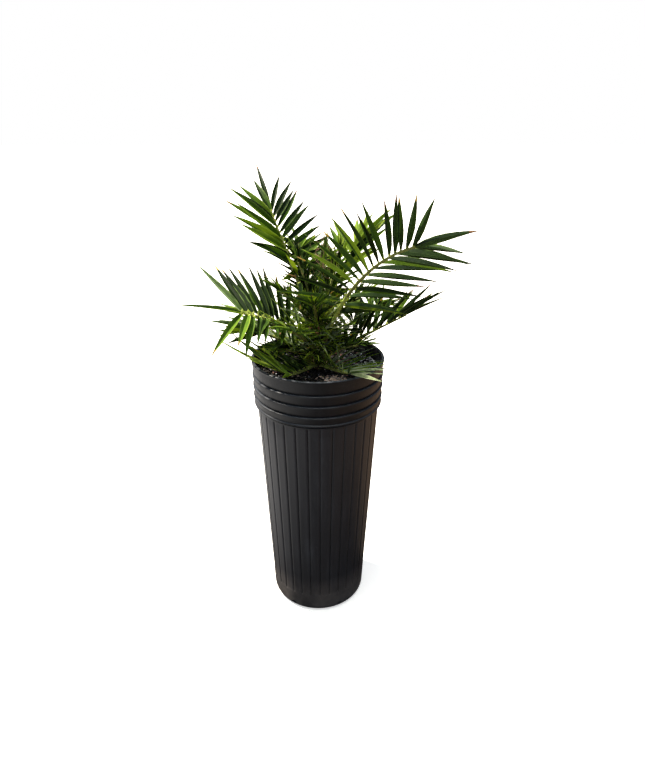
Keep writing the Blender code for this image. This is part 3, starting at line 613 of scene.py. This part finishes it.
fronds = {
    "upper_left": dict(
        foot=0.484, azimuth=168, sweep=-59, rise=(92, 36), length=0.249, roll=-36, twist=40, bare=0.35,
        leaves=(16, 16), fan=-3, spread=(116, 21), lift=((12, 2), (29, 1)), leaf=0.103, last=0.79,
        tipLeaf=0.123, seeds=(126224, 133103), arch=0.008, broad=(1.1, 1.35), face=(0, -20),
        more=[dict(leaves=(3, 7), bare=0.08, until=0.36, leaf=0.078, spread=(104, 88), seeds=(5, 6),
                   broad=(0.8, 0.85), first=0.7, last=1.0)],
        tones=((dict(deep=3, dark=3), dict(dark=5, deep=3)),
               (dict(deep=4, fresh=3), dict(lime=3, fresh=5, deep=2))), tipTone="dark"),
    "upper_right": dict(
        foot=0.492, azimuth=-43, sweep=-19, rise=(73, 18), length=0.285, roll=6, twist=53, bare=0.27,
        leaves=(17, 12), fan=-4, spread=(85, 30), lift=((0, 5), (-9, 20)), leaf=0.106, first=1.0, last=0.86,
        tipLeaf=0.122, seeds=(30876, 11737), broad=(1.0, 1.2), face=(10, -25),
        tones=((dict(fresh=3, deep=4), dict(dark=5, deep=2)),
               (dict(fresh=4, lime=1, deep=3), dict(dark=6, deep=1))), tipTone="silver"),
    "front_left": dict(
        foot=0.468, azimuth=244, rise=(4, 14), length=0.086, bare=0.24, leaves=(5, 3), fan=0, spread=(95, 78),
        lift=((25, 18), (138, 145)), leaf=0.103, first=0.6, last=1.3, longest=0.1, tipLeaf=0.030, wide=1.1,
        seeds=(27445, 8), arch=-0.03, broad=(0.58, 0.6), face=(-38, 0),
        more=[dict(leaves=(5, 4), leaf=0.07, seeds=(51, 52), broad=(0.5, 0.5)),
              dict(leaves=(4, 4), leaf=0.06, seeds=(53, 54), broad=(0.45, 0.45), fan=14)],
        tones=((dict(deep=2, dark=2), dict(lime=3, fresh=2)), (dict(fresh=1), dict(lime=1))), tipTone="lime"),
    "front_right": dict(
        foot=0.468, azimuth=-62, sweep=5, rise=(6, 12), length=0.083, bare=0.24, leaves=(3, 5), fan=0,
        spread=(101, 30), lift=((45, 40), (21, 4)), leaf=0.083, first=0.8, last=0.98, tipLeaf=0.090, wide=0.9,
        seeds=(7, 7114), broad=(0.52, 0.48), face=(-25, 22),
        more=[dict(leaves=(5, 7), leaf=0.084, seeds=(61, 62), broad=(0.38, 0.38), fan=10),
              dict(leaves=(4, 6), leaf=0.076, seeds=(63, 64), broad=(0.34, 0.34), fan=-12)],
        # the pale tone of these straps is painted sunlight, where the crown's shade falls on them
        tones=((dict(fresh=1, silver=1), dict(silver=1, pale=1)),
               (dict(fresh=1, pale=1), dict(silver=1, pale=4))), tipTone="pale"),
    "mid_left": dict(
        foot=0.505, azimuth=210, sweep=-7, rise=(44, 14), length=0.136, roll=19, twist=5, bare=0.42,
        leaves=(10, 10), fan=1, spread=(70, 67), lift=((32, -3), (23, 8)), leaf=0.100, first=0.78, last=1.24,
        tipLeaf=0.113, seeds=(5678, 3371), arch=0.008, broad=(1.15, 1.15), face=(-22, 0),
        more=[dict(leaves=(5, 6), bare=0.06, until=0.44, leaf=0.066, spread=(100, 76), seeds=(41, 42),
                   broad=(0.7, 0.7), first=0.8, last=1.0,
                   tones=((dict(fresh=2, silver=3), dict(deep=2, silver=1)),
                          (dict(silver=4, lime=2), dict(silver=3, fresh=3))))],
        tones=((dict(deep=2, dark=4), dict(dark=4, silver=1)),
               (dict(deep=4, dark=2), dict(deep=3, fresh=3)))),
    "low_left": dict(
        foot=0.467, azimuth=190, rise=(51, 16), length=0.118, roll=-4, twist=3, bare=0.2, leaves=(8, 8),
        spread=(83, 44), lift=((-4, -7), (-7, -6)), leaf=0.089, tipLeaf=0.074, seeds=(11, 12), finer=1,
        face=(-45, -40), tipTone="silver",
        tones=((dict(deep=2, fresh=2), dict(silver=3, fresh=1)),
               (dict(deep=2, dark=1), dict(deep=3, fresh=3, silver=2)))),
    "low_right": dict(
        foot=0.474, azimuth=12, sweep=6, rise=(28, 19), length=0.157, roll=21, twist=-3, bare=0.22, fan=2,
        spread=(79, 28), lift=((37, 20), (33, 24)), leaf=0.103, first=0.6, last=0.83, tipLeaf=0.086,
        seeds=(3, 56711), arch=0.008, broad=(0.92, 0.95), face=(-30, 10),
        more=[dict(leaves=(5, 5), bare=0.04, until=0.26, leaf=0.056, spread=(100, 76), seeds=(43, 44),
                   broad=(0.6, 0.6), first=0.8, last=1.0,
                   tones=((dict(silver=3, deep=2), dict(deep=2, dark=2)),
                          (dict(silver=3, dark=2), dict(dark=3, silver=1))))],
        tones=((dict(dark=4, deep=3), dict(dark=3, deep=3)),
               (dict(dark=5, deep=2), dict(deep=3, fresh=2))), tipTone="deep"),
    "front": small | dict(
        foot=0.488, azimuth=-118, rise=(52, 24), length=0.100, roll=10, leaves=(7, 7), leaf=0.070,
        tipLeaf=0.060, seeds=(15, 16), tones=(sunlitTones, sunlitTones)),
    "front_low": small | dict(
        foot=0.474, azimuth=-40, sweep=8, rise=(48, 14), length=0.080, leaf=0.060, seeds=(17, 18)),
    "low_front_left": small | dict(
        foot=0.480, azimuth=-138, rise=(34, 10), length=0.080, leaves=(5, 5), leaf=0.058, seeds=(19, 20)),
    "centre_front": small | dict(foot=0.520, azimuth=-95, rise=(66, 34), length=0.085, seeds=(31, 32)),
    "centre_left": small | dict(foot=0.526, azimuth=212, rise=(66, 36), length=0.090, seeds=(23, 24)),
    "centre_right": small | dict(foot=0.514, azimuth=-4, rise=(64, 34), length=0.090, seeds=(33, 34)),
    "inner_left": small | dict(
        foot=0.545, azimuth=150, rise=(84, 62), length=0.090, roll=-40, leaves=(7, 7), seeds=(27, 28),
        tones=(innerTones, innerTones)),
    "inner_right": small | dict(
        foot=0.542, azimuth=30, rise=(80, 60), length=0.100, roll=40, leaves=(7, 7), leaf=0.065,
        seeds=(29, 30), tones=(innerTones, innerTones)),
    "back_right": hidden | dict(
        foot=0.522, azimuth=60, sweep=-14, rise=(60, 32), length=0.180, roll=10, twist=10, leaves=(9, 9),
        seeds=(31, 32), broad=(1.35, 1.35), face=(45, 0), tones=(youngTones, youngTones)),
    "back_left": hidden | dict(
        foot=0.525, azimuth=104, rise=(56, 24), length=0.165, roll=-6, leaves=(8, 8), leaf=0.080,
        seeds=(33, 34)),
    "back": hidden | dict(
        foot=0.500, azimuth=84, sweep=4, rise=(44, 4), length=0.235, leaves=(9, 9), seeds=(35, 36)),
    "back_low_right": hidden | dict(
        foot=0.488, azimuth=48, sweep=8, rise=(24, -2), length=0.175, leaf=0.078, seeds=(37, 38)),
    "back_low_left": hidden | dict(
        foot=0.474, azimuth=143, sweep=-4, rise=(30, 2), length=0.170, leaf=0.080, seeds=(39, 40)),
    "back_low": hidden | dict(
        foot=0.468, azimuth=100, sweep=-4, rise=(30, -4), length=0.190, seeds=(41, 42))}
fronds = {name: frondBase | frond for name, frond in fronds.items()}
blade = dict(
    width=0.0090, thick=0.0014, widest=0.34, root=0.34, gap=0.0003, clear=0.0005,
    shorter=(1.0, 0.8, 0.6, 0.45), stray=20.0, varyTurn=10.0, varyLength=0.08, tipSunk=0.004, ribFoot=0.0030,
    ribTip=0.0013, ribAcross=0.8, ribUp=0.75, seat=0.00005, mixClear=0.0045, rimClear=0.001, fuller=1.30,
    rootShare=0.38, fullFrom=0.26, fullTo=0.38, fold=(30, 55), skin=0.00034, edge=0.00003, twistMost=13,
    sway=0.015, finerLength=0.93, finerFan=9, rows=(0.0, 0.05, 0.18, 0.35, 0.52, 0.69, 0.85, 1.0),
    columns=(-1, -0.5, 0, 0.5, 1), paintedShadeHalves=(0.42, 0.36, 0.22), withered=0.26, ribSides=10, ribRows=60)
rows, around = len(blade["rows"]), 2 * len(blade["columns"]) - 2  # of a leaflet's points

# the colours of the dark patches, the pale ones and the margin, the roughness, the gloss, the share of light
# that comes through, the tone of the half in painted shade, and the tone of the underside
tones = dict(
    dark=(("#121f0d", "#1d2f14", "#4c602c"), 0.42, 0.10, 0.26, "dark", "darkUnder"),
    deep=(("#2a420f", "#3f5c18", "#76913a"), 0.44, 0.16, 0.34, "dark", "darkUnder"),
    fresh=(("#4f6e18", "#6a8a22", "#a8ba4c"), 0.46, 0.24, 0.42, "deep", "freshUnder"),
    lime=(("#768f26", "#92a93a", "#c8d466"), 0.48, 0.24, 0.44, "fresh", "freshUnder"),
    silver=(("#5c704c", "#86996e", "#bcc9a8"), 0.36, 0.42, 0.35, "deep", "darkUnder"),
    straw=(("#8f7a36", "#b09a50", "#d0bc70"), 0.60, 0.20, 0.40, "straw", "freshUnder"),
    brown=(("#5f4026", "#8a6644", "#b08f5c"), 0.70, 0.20, 0.15, "brown", "darkUnder"),
    base=(("#93a23c", "#b9c462", "#d0d88a"), 0.45, 0.30, 0.30, "base", "base"),
    # pale is a lit copy of silver: painted sunlight, for leaflets that lie in the crown's shade
    pale=(("#7c8a62", "#a3af86", "#cdd6b4"), 0.50, 0.30, 0.35, "silver", "silver"),
    darkUnder=(("#243818", "#354f1e", "#708c3c"), 0.60, 0.25, 0.40, "dark", "darkUnder"),
    freshUnder=(("#5b7d24", "#789830", "#b2c658"), 0.60, 0.25, 0.40, "darkUnder", "freshUnder"))
toneNames = list(tones)
paintedShadeTone, underTone = np.array([[toneNames.index(name) for name in tone[4:]] for tone in tones.values()]).T


def leafSkin(name):
    # living palm leaflet: a waxed, finely ribbed skin over tissue that lets yellow-green light through.
    # The ribs lie 0.6 mm apart, too fine to show, so they are drawn at about 1.1 mm
    colours, roughness, gloss, through = tones[name][:4]
    material, add = cleared(bpy.data.materials.new(name if name.endswith("Under") else name + "Leaf"))
    places = add("TexCoord").outputs
    u = add("SeparateXYZ", {0: places["UV"]})
    aside = add("Math", {"operation": "SUBTRACT", 0: u, 1: 0.5})
    aside = add("Math", {"operation": "ABSOLUTE", 0: aside})
    lines = add("Math", {"operation": "MULTIPLY", 0: u, 1: 56.0})
    lines = add("Math", {"operation": "SINE", 0: lines})
    patches = add("TexNoise", {"Scale": 60.0, "Detail": 4.0, "Vector": places["Object"]})
    patches = add("MapRange", {0: patches, 1: 0.35, 2: 0.65, 4: 0.85})
    shade = add("Math", {"operation": "MULTIPLY_ADD", 0: lines, 1: 0.12, 2: patches})
    edge = add("MapRange", {0: aside, 1: 0.36, 2: 0.48, 4: 0.75})
    middle = add("MapRange", {0: aside, 1: 0.04, 2: 0.0, 4: 0.3})
    margin = add("Math", {"operation": "ADD", 0: edge, 1: middle})
    colour = colours[0]
    for share, tint in ((shade, colours[1]), (margin, colours[2])):
        colour = add("Mix", {"data_type": "RGBA", 0: share, 6: colour, 7: tint}).outputs[2]
    bump = add("Bump", {"Strength": 0.35, "Distance": 0.0003, "Height": lines})
    skin = add("BsdfPrincipled", {"IOR": 1.42, "Roughness": roughness, "Specular IOR Level": gloss,
                                  "Base Color": colour, "Normal": bump})
    lit = add("BsdfTranslucent", {"Color": colours[2]})
    both = add("MixShader", {0: through, 1: skin, 2: lit})
    add("OutputMaterial", {0: both})
    return material


def ribOf(frond):
    # the rib at even steps: its share walked, its points and its outward, side and upper directions
    steps = 41
    t = np.linspace(0, 1, steps)
    azimuth = np.radians(frond["azimuth"] + frond["sweep"] * t)
    rise = np.radians(between(frond["rise"], t))
    along = np.stack([np.cos(rise) * np.cos(azimuth), np.cos(rise) * np.sin(azimuth), np.sin(rise)], 1)
    out, roll = math.radians(frond["azimuth"]), math.radians(frond["roll"])
    half = blade["ribFoot"] * (blade["ribAcross"] * abs(math.sin(roll)) + blade["ribUp"] * math.cos(roll))
    reach = stemRadius(frond["foot"]) + blade["gap"] + half * math.sin(rise[0]) + blade["seat"]
    if frond["foot"] > stemTop - 0.001:
        reach = 0.0
    foot = np.array([reach * math.cos(out), reach * math.sin(out), frond["foot"]])
    walked = np.cumsum((along[1:] + along[:-1]) / 2 * frond["length"] / (steps - 1), axis=0)
    points = foot + np.concatenate([np.zeros((1, 3)), walked])
    level = np.stack([np.sin(azimuth), -np.cos(azimuth), 0 * azimuth], 1)
    turn = np.radians(frond["roll"] + frond["twist"] * t)[:, None]
    return t, points, along, *rotated(level, np.cross(level, along), turn)


def at(rib, t):  # the rib's point there and its outward, side and upper directions
    point, *axes = (np.stack([np.interp(t, rib[0], row) for row in part.T], -1) for part in rib[1:])
    return point, *map(unit, axes)


def rodOf(rib, t, ring):  # the ring, a profile for each step, carried along the rib
    point, along, side, upper = at(rib, t)
    return carry(ring[None], point[None], -side[None], upper[None])


def leafPlaces(frond, rib):
    # every leaflet's root, direction, width direction, length, width and hand, by the solids' own rule
    places = []
    wide = blade["width"] * frond["wide"]
    first, peak, last = frond["first"], frond["longest"], frond["last"]
    sides = zip((1, -1), frond["leaves"], frond["seeds"], frond["broad"], frond["lift"])
    for hand, count, seed, broad, rises in sides:
        more = np.random.default_rng(seed).uniform(-1, 1, (count, 4))
        number = np.arange(count)
        u = number / (count - 1)
        root, along, level, upper = at(rib, between((frond["bare"], frond["until"]), u))
        angle = between(frond["spread"], u) - frond["fan"] * (number % 2)
        angle = np.radians(angle + blade["stray"] * more[:, 0] ** 3)[:, None]
        lift = np.radians(between(rises, u) + blade["stray"] * more[:, 1] ** 3)[:, None]
        direction = unit(np.cos(angle) * along
                         + np.sin(angle) * (np.cos(lift) * hand * level + np.sin(lift) * upper))
        growing = first + (1 - first) * np.sin(np.clip(u / peak, 0, 1) * np.pi / 2)
        fading = last + (1 - last) * np.cos(np.clip((u - peak) / (1 - peak), 0, 1) * np.pi / 2)
        share = np.where(u < peak, growing, fading)
        turn = math.radians(blade["varyTurn"]) * more[:, 2:3]
        across = upright(along, direction)
        across = rotated(across, np.cross(direction, across), turn)[0]
        length = frond["leaf"] * share * (1 + blade["varyLength"] * more[:, 3])
        width = wide * broad * (0.75 + 0.25 * share)
        places += list(zip(root, direction, across, length, width, [hand] * count))
    end, along, side, upper = at(rib, 1.0)
    places.append((end - blade["tipSunk"] * along, along, side, frond["tipLeaf"], wide, -1))
    return places


def spindle(root, direction, across, length, width):
    # the straight leaflet that is tested for room: two square rings and a tip, with the clearance added
    grow, up = blade["clear"], np.cross(direction, across)
    points = []
    for share, wide, thick in ((0.0, blade["root"], 0.85), (blade["widest"], 1.0, 1.0)):
        w, h = wide * width / 2 + grow, thick * blade["thick"] / 2 + grow
        middle = root + direction * length * share
        points += [middle + w * across, middle + h * up, middle - w * across, middle - h * up]
    points.append(root + direction * (length + grow))
    faces = [(3, 2, 1, 0)]
    for corner in range(4):
        following = (corner + 1) % 4
        faces += [(corner, following, following + 4, corner + 4), (corner + 4, following + 4, 8)]
    return np.array(points), faces


taken = []  # of every placed piece: its frond, its box and its tree


def take(name, points, faces):
    taken.append((name, points.min(axis=0), points.max(axis=0), BVHTree.FromPolygons(points.tolist(), faces)))


def hasRoom(name, points, faces):
    # clear of the mix and the pot's wall, tested at ten points of each edge, and crossing no other frond
    edges = np.array([(face[k - 1], face[k]) for face in faces for k in range(len(face))])
    ends = points[edges[:, 0]], points[edges[:, 1]]
    way = (ends[0][None] + (ends[1] - ends[0])[None] * np.linspace(0, 1, 10)[:, None, None]).reshape(-1, 3)
    r, z = np.hypot(way[:, 0], way[:, 1]), way[:, 2]
    rim, clear = pot["innerRim"], blade["rimClear"]
    inMix = (z < mix["top"] + blade["mixClear"]) & (r < rim)
    inWall = (z < potHeight + clear) & (r > rim - 3 * clear)
    low, high = points.min(axis=0), points.max(axis=0)
    past = high[2] < potHeight and np.hypot(points[:, 0], points[:, 1]).max() > rim - 4 * clear
    if inMix.any() or inWall.any() or past:
        return False
    own = BVHTree.FromPolygons(points.tolist(), faces)
    return not any(own.overlap(tree) for other, otherLow, otherHigh, tree in taken
                   if other != name and (low <= otherHigh).all() and (high >= otherLow).all())


def bladesOf(places, chance, arch, face=(0, 0)):
    # folded, pointed blades: the half width w(s) rises from the root to full, stays so, and falls along a
    # rounded line; the two halves stand up by the fold, and the middle line bows by arch * 4s(1 - s)
    root, direction, across, length, width, hand = (np.array(part) for part in zip(*places))
    count = len(root)
    s, c = np.array(blade["rows"]), np.array(blade["columns"])
    rising = between((blade["rootShare"], 1), np.sin(np.clip(s / blade["fullFrom"], 0, 1) * np.pi / 2))
    falling = 1 - np.clip((s - blade["fullTo"]) / (1 - blade["fullTo"]), 0, 1) ** 1.3
    w = np.minimum(rising, np.maximum(falling, 0.012))[None, :] * (width * blade["fuller"] / 2)[:, None]
    fold = np.radians(between(blade["fold"], (1 - s) ** 2))[None, :, None]
    fold = fold * chance.uniform(0.75, 1.25, (count, 1, 1))
    skin = blade["skin"] / 2 * (1 - c ** 2) + blade["edge"]
    x = w[..., None] * c * np.cos(fold)
    y = w[..., None] * np.abs(c) * np.sin(fold)
    lower = np.stack([x, y - skin], -1)  # from the left edge to the right one
    upper = np.stack([x, y + skin], -1)[:, :, ::-1][:, :, 1:-1]
    sides, ups = across * hand[:, None], np.cross(direction, across) * hand[:, None]
    twist = np.radians(blade["twistMost"]) * chance.uniform(-1, 1, (count, 1, 1)) * s[None, :, None]
    twist = twist + np.radians(face)[(hand < 0).astype(int)][:, None, None]
    lift = unit(np.array([0, 0, 1.0]) - direction * direction[:, 2:3])
    bow = (4 * s * (1 - s))[None, :, None] * length[:, None, None]
    lift = lift * (arch * chance.uniform(0.4, 1.5, (count, 1)))
    lift = lift + sides * blade["sway"] * chance.uniform(-1, 1, (count, 1))
    centres = root[:, None] + s[None, :, None] * (direction * length[:, None])[:, None] + bow * lift[:, None]
    profile = np.concatenate([lower, upper], axis=2)
    points = carry(profile, centres, *rotated(sides[:, None], ups[:, None], twist))
    u = np.concatenate([c, c[::-1][1:-1]]) * 0.5 + 0.5
    v = s[None, :, None] * (length / width)[:, None, None]
    uv = np.stack(np.broadcast_arrays(u[None, None, :], v), -1)
    creases = np.broadcast_to(np.arange(around) % 2 == 0, points.shape[:3]).ravel()
    return dict(points=points, faces=tubeFaces(count, rows, around), uv=uv, creases=creases)


def evenTones(tone):  # one tone for all the faces of a leaflet, its walls first and then its caps
    return np.concatenate([np.repeat(tone, (rows - 1) * around), tone, tone])


def dealTones(frond, chance):
    # every leaflet's tone, drawn by its side's weights, which pass from the near ones to the far ones outward
    picked = []
    for (near, far), count in zip(frond["tones"], frond["leaves"]):
        for u in np.linspace(0, 1, count):
            share = np.array([(1 - u) * near.get(name, 0) / sum(near.values())
                              + u * far.get(name, 0) / sum(far.values()) for name in toneNames])
            picked.append(chance.choice(len(toneNames), p=share / share.sum()))
    return picked + [toneNames.index(frond["tipTone"])]


def placeLeaflets(name, frond, rib, chance):
    # the solids' own leaflets, then the added sets; each is shortened until it has room, or left out
    places, dealt = leafPlaces(frond, rib), dealTones(frond, chance)
    sets = list(frond["more"])
    for step in range(1, frond["finer"] + 1):
        sets.append(dict(
            seeds=[seed + 100 * step for seed in frond["seeds"]], bare=frond["bare"] + 0.03 * step,
            fan=frond["fan"] + blade["finerFan"] * step, leaf=frond["leaf"] * blade["finerLength"] ** step))
    for changes in sets:
        places += leafPlaces(frond | changes, rib)[:-1]
        dealt += dealTones(frond | changes, chance)[:-1]
    kept, picked = [], []
    for (root, direction, across, length, width, hand), tone in zip(places, dealt):
        for share in blade["shorter"]:
            proxy = spindle(root, direction, across, length * share, width)
            if hasRoom(name, *proxy):
                take(name, *proxy)
                kept.append((root, direction, across, length * share, width, hand))
                picked.append(tone)
                break
    return kept, np.array(picked)


def toneFaces(tone, chance):
    # each side in its own tone; on most leaflets one half takes a darker tone, painted shade that stands in
    # for the shade of the fold, so that the fold still reads from afar; all with a pale foot, and some with a
    # withered tip
    count, column = len(tone), np.arange(around)
    top = column >= around // 2  # the faces of the upper side follow those of the lower one
    walls = np.where(top, tone[:, None, None], underTone[tone][:, None, None])
    walls = np.broadcast_to(walls, (count, rows - 1, around)).copy()
    half = np.where(np.isin(column, (0, 1, 6, 7)), 1, -1)
    paintedShadeHalf = chance.choice([1, -1, 0], count, p=blade["paintedShadeHalves"])[:, None, None]
    walls = np.where(half == paintedShadeHalf, paintedShadeTone[walls], walls)
    walls[:, 0] = toneNames.index("base")
    withered = chance.uniform(0, 1, count) < blade["withered"]
    tips = np.where(chance.uniform(0, 1, count) < 0.5, toneNames.index("brown"), toneNames.index("straw"))
    walls[withered, rows - 2:] = tips[withered, None, None]
    return np.concatenate([walls.ravel(), underTone[tone], np.where(withered, tips, underTone[tone])])


def addRib(name, frond, rib, skins):
    # a rod, wider where it clasps the stem and grooved above; its foot is sheath, then bare stalk, then rib
    sides, steps = blade["ribSides"], blade["ribRows"]
    t = np.linspace(0, 1, steps)
    angle = np.linspace(0, 2 * np.pi, sides, endpoint=False)
    radius = between((blade["ribFoot"] * 1.15, blade["ribTip"] * 1.3), t ** 1.3)[:, None]
    clasp = 1 + 0.55 * np.exp(-t / 0.03)[:, None]
    up = radius * (0.8 * np.sin(angle) - 0.22 * np.cos(angle) ** 2)
    ring = np.stack([radius * clasp * np.cos(angle), up], -1)
    stretch = np.repeat(np.where(t[:-1] < 0.10, 2, np.where(t[:-1] < frond["bare"] + 0.12, 1, 0)), sides)
    addPiece("rib_" + name, rodOf(rib, t, ring), tubeFaces(1, steps, sides), skins, "frond",
             ["frond_" + name], tones=np.concatenate([stretch, [2, 0]]))


def makeFronds():
    skins = [leafSkin(name) for name in toneNames]
    ribSkins = [mattSkin("rachisSkin", "#4a5020", "#878f3e", stretch=0.5, **strands),
                mattSkin("petioleSkin", "#728a2c", "#b4bf5c", stretch=0.5, **strands),
                mattSkin("petioleSheath", "#6b5a30", "#a08a52", stretch=0.3, **strands)]
    ribs = {name: ribOf(frond) for name, frond in fronds.items()}
    t = np.linspace(0, 1, 40)
    corners = np.array([(1, -1), (1, 1), (-1, 1), (-1, -1)]) * (blade["ribAcross"], blade["ribUp"])
    square = between((blade["ribFoot"], blade["ribTip"]), t)[:, None, None] * corners
    for name, rib in ribs.items():  # the solids' own ribs take their room first
        faces = [face for part in tubeFaces(1, 40, 4) for face in part.tolist()]
        take(name, rodOf(rib, t, square).reshape(-1, 3), faces)

    total = 0
    for order, (name, frond) in enumerate(fronds.items()):
        chance = np.random.default_rng(100 + order)
        kept, picked = placeLeaflets(name, frond, ribs[name], chance)
        blades = bladesOf(kept, chance, frond["arch"], frond["face"])
        addPiece("leaflets_" + name, materials=skins, slot="frond", nodes=["frond_" + name],
                 tones=toneFaces(picked, chance), **blades)
        addRib(name, frond, ribs[name], ribSkins)
        total += len(kept)
    print("fronds with", total, "leaflets")
    return skins, ribs


# Heart: the crowded small leaflets round the stem, and the spines that leaflets become on the leaf stalks

tufts = {  # the count, the heights on the stem, the lengths, widths and rises, and the weights of the tones
    # these tufts lean to the pale tones, partly their own colour and partly painted light against the crown's
    # deep shade
    "heart_leaflets": (170, (0.468, 0.548), (0.034, 0.080), (0.0032, 0.0050), (30, 76),
                       dict(dark=2, deep=1, fresh=4, lime=6, silver=3, pale=3)),
    "skirt_leaflets": (170, (0.474, 0.540), (0.045, 0.090), (0.0030, 0.0046), (4, 42),
                       dict(silver=5, fresh=3, lime=4, deep=2, dark=1, pale=3)),
    "foot_leaflets": (70, (0.4600, 0.4700), (0.018, 0.042), (0.0028, 0.0042), (14, 62),
                      dict(base=4, lime=4, fresh=2))}
spines = dict(count=7, start=0.10, clear=0.02, length=(0.008, 0.017), radius=0.0007, spread=(40, 65),
              curl=0.02)


def tuft(count, heights, lengths, widths, rises, chance):
    # leaflets springing from the stem's side at random heights and turns
    z, turn = chance.uniform(*heights, count), chance.uniform(0, 2 * np.pi, count)
    rise = np.radians(chance.uniform(*rises, count))[:, None]
    aside = np.stack([-np.sin(turn), np.cos(turn), 0 * turn], -1) * chance.normal(0, 0.35, (count, 1))
    direction = unit(np.cos(rise) * (outward(turn) + aside) + np.sin(rise) * np.array([0, 0, 1.0]))
    across = unit(np.cross(direction, np.array([0, 0, 1.0])))
    across = upright(unit(across + chance.normal(0, 0.5, (count, 3))), direction)
    return list(zip(fromStem(z, turn, 0.001), direction, across, chance.uniform(*lengths, count),
                    chance.uniform(*widths, count), np.ones(count)))


def makeHeart(skins, ribs):
    chance = np.random.default_rng(77)
    for name, (count, heights, lengths, widths, rises, weights) in tufts.items():
        blades = bladesOf(tuft(count, heights, lengths, widths, rises, chance), chance, 0.06)
        share = np.array(list(weights.values()), float)
        tone = chance.choice([toneNames.index(key) for key in weights], count, p=share / share.sum())
        addPiece(name, materials=skins, slot="frond", tones=evenTones(tone), **blades)

    starts, outs = [], []
    for name, rib in ribs.items():
        ends = spines["start"], fronds[name]["bare"] - spines["clear"]
        t = np.repeat(np.linspace(*ends, spines["count"]), 2)
        hand = np.tile([1.0, -1.0], spines["count"])[:, None]
        point, along, side, upper = at(rib, t)
        angle = np.radians(chance.uniform(*spines["spread"], (len(t), 1)))
        starts.append(point + hand * side * blade["ribTip"])
        outs.append(np.cos(angle) * along + np.sin(angle) * (hand * side + 0.35 * upper))
    starts, outs = np.concatenate(starts), np.concatenate(outs)
    points, faces = threads(starts, outs, chance.uniform(*spines["length"], len(starts)), spines["curl"],
                            spines["radius"], chance, rows=5)
    skin = mattSkin("spineSkin", "#7d8c3a", "#c2bd72", stretch=1.0, **strands)
    addPiece("stalk_spines", points, faces, [skin], "frond")
    print("heart and", len(starts), "spines")


# New leaf: still folded, its leaflets lying close along the rib

spear = dict(azimuth=20, rise=(84, 82), length=0.130, leaflets=22, hairs=46, hairLength=(0.010, 0.022),
             hairCurl=0.75, hairRadius=0.00026, shades=("silver", "deep", "silver", "fresh", "dark"))


def makeSpear(skins):
    chance = np.random.default_rng(5)
    rib = ribOf({**frondBase, **spear, "foot": stemTop + blade["gap"]})
    count = spear["leaflets"]
    t = np.linspace(0.02, 0.62, count)
    turn = np.arange(count)[:, None] * 2.4
    point, along, side, upper = at(rib, t)
    out = np.cos(turn) * side + np.sin(turn) * upper
    lean = np.radians(chance.uniform(1.5, 5.5, (count, 1)))
    direction = unit(along * np.cos(lean) + out * np.sin(lean))
    length = np.minimum(chance.uniform(0.050, 0.075, count), (1 - t) * spear["length"])
    places = list(zip(point + out * 0.0012, direction, unit(np.cross(direction, out)), length,
                      np.full(count, 0.0052), np.ones(count)))
    shades = np.array([toneNames.index(name) for name in spear["shades"]])
    tone = shades[np.arange(count) % len(shades)]
    addPiece("folded_leaf", materials=skins, slot="spear_leaf", nodes=["spear_leaf"], tones=evenTones(tone),
             **bladesOf(places, chance, 0.01))
    hairs = spear["hairs"]
    starts = at(rib, chance.uniform(0.3, 1.0, hairs))[0] + chance.normal(0, 0.0014, (hairs, 3))
    outs = unit(chance.normal(0, 0.9, (hairs, 3)) + [0, 0, 0.8])
    points, faces = threads(starts, outs, chance.uniform(*spear["hairLength"], hairs), spear["hairCurl"],
                            spear["hairRadius"], chance)
    fibre = mattSkin("curlyFibre", "#6b4634", "#b98f78", stretch=1.0, **strands)
    addPiece("spear_fibres", points, faces, [fibre], "spear_leaf")
    print("new leaf")


makeStudio()
makePot()
makeMix()
makeStem()
skins, ribs = makeFronds()
makeHeart(skins, ribs)
makeSpear(skins)
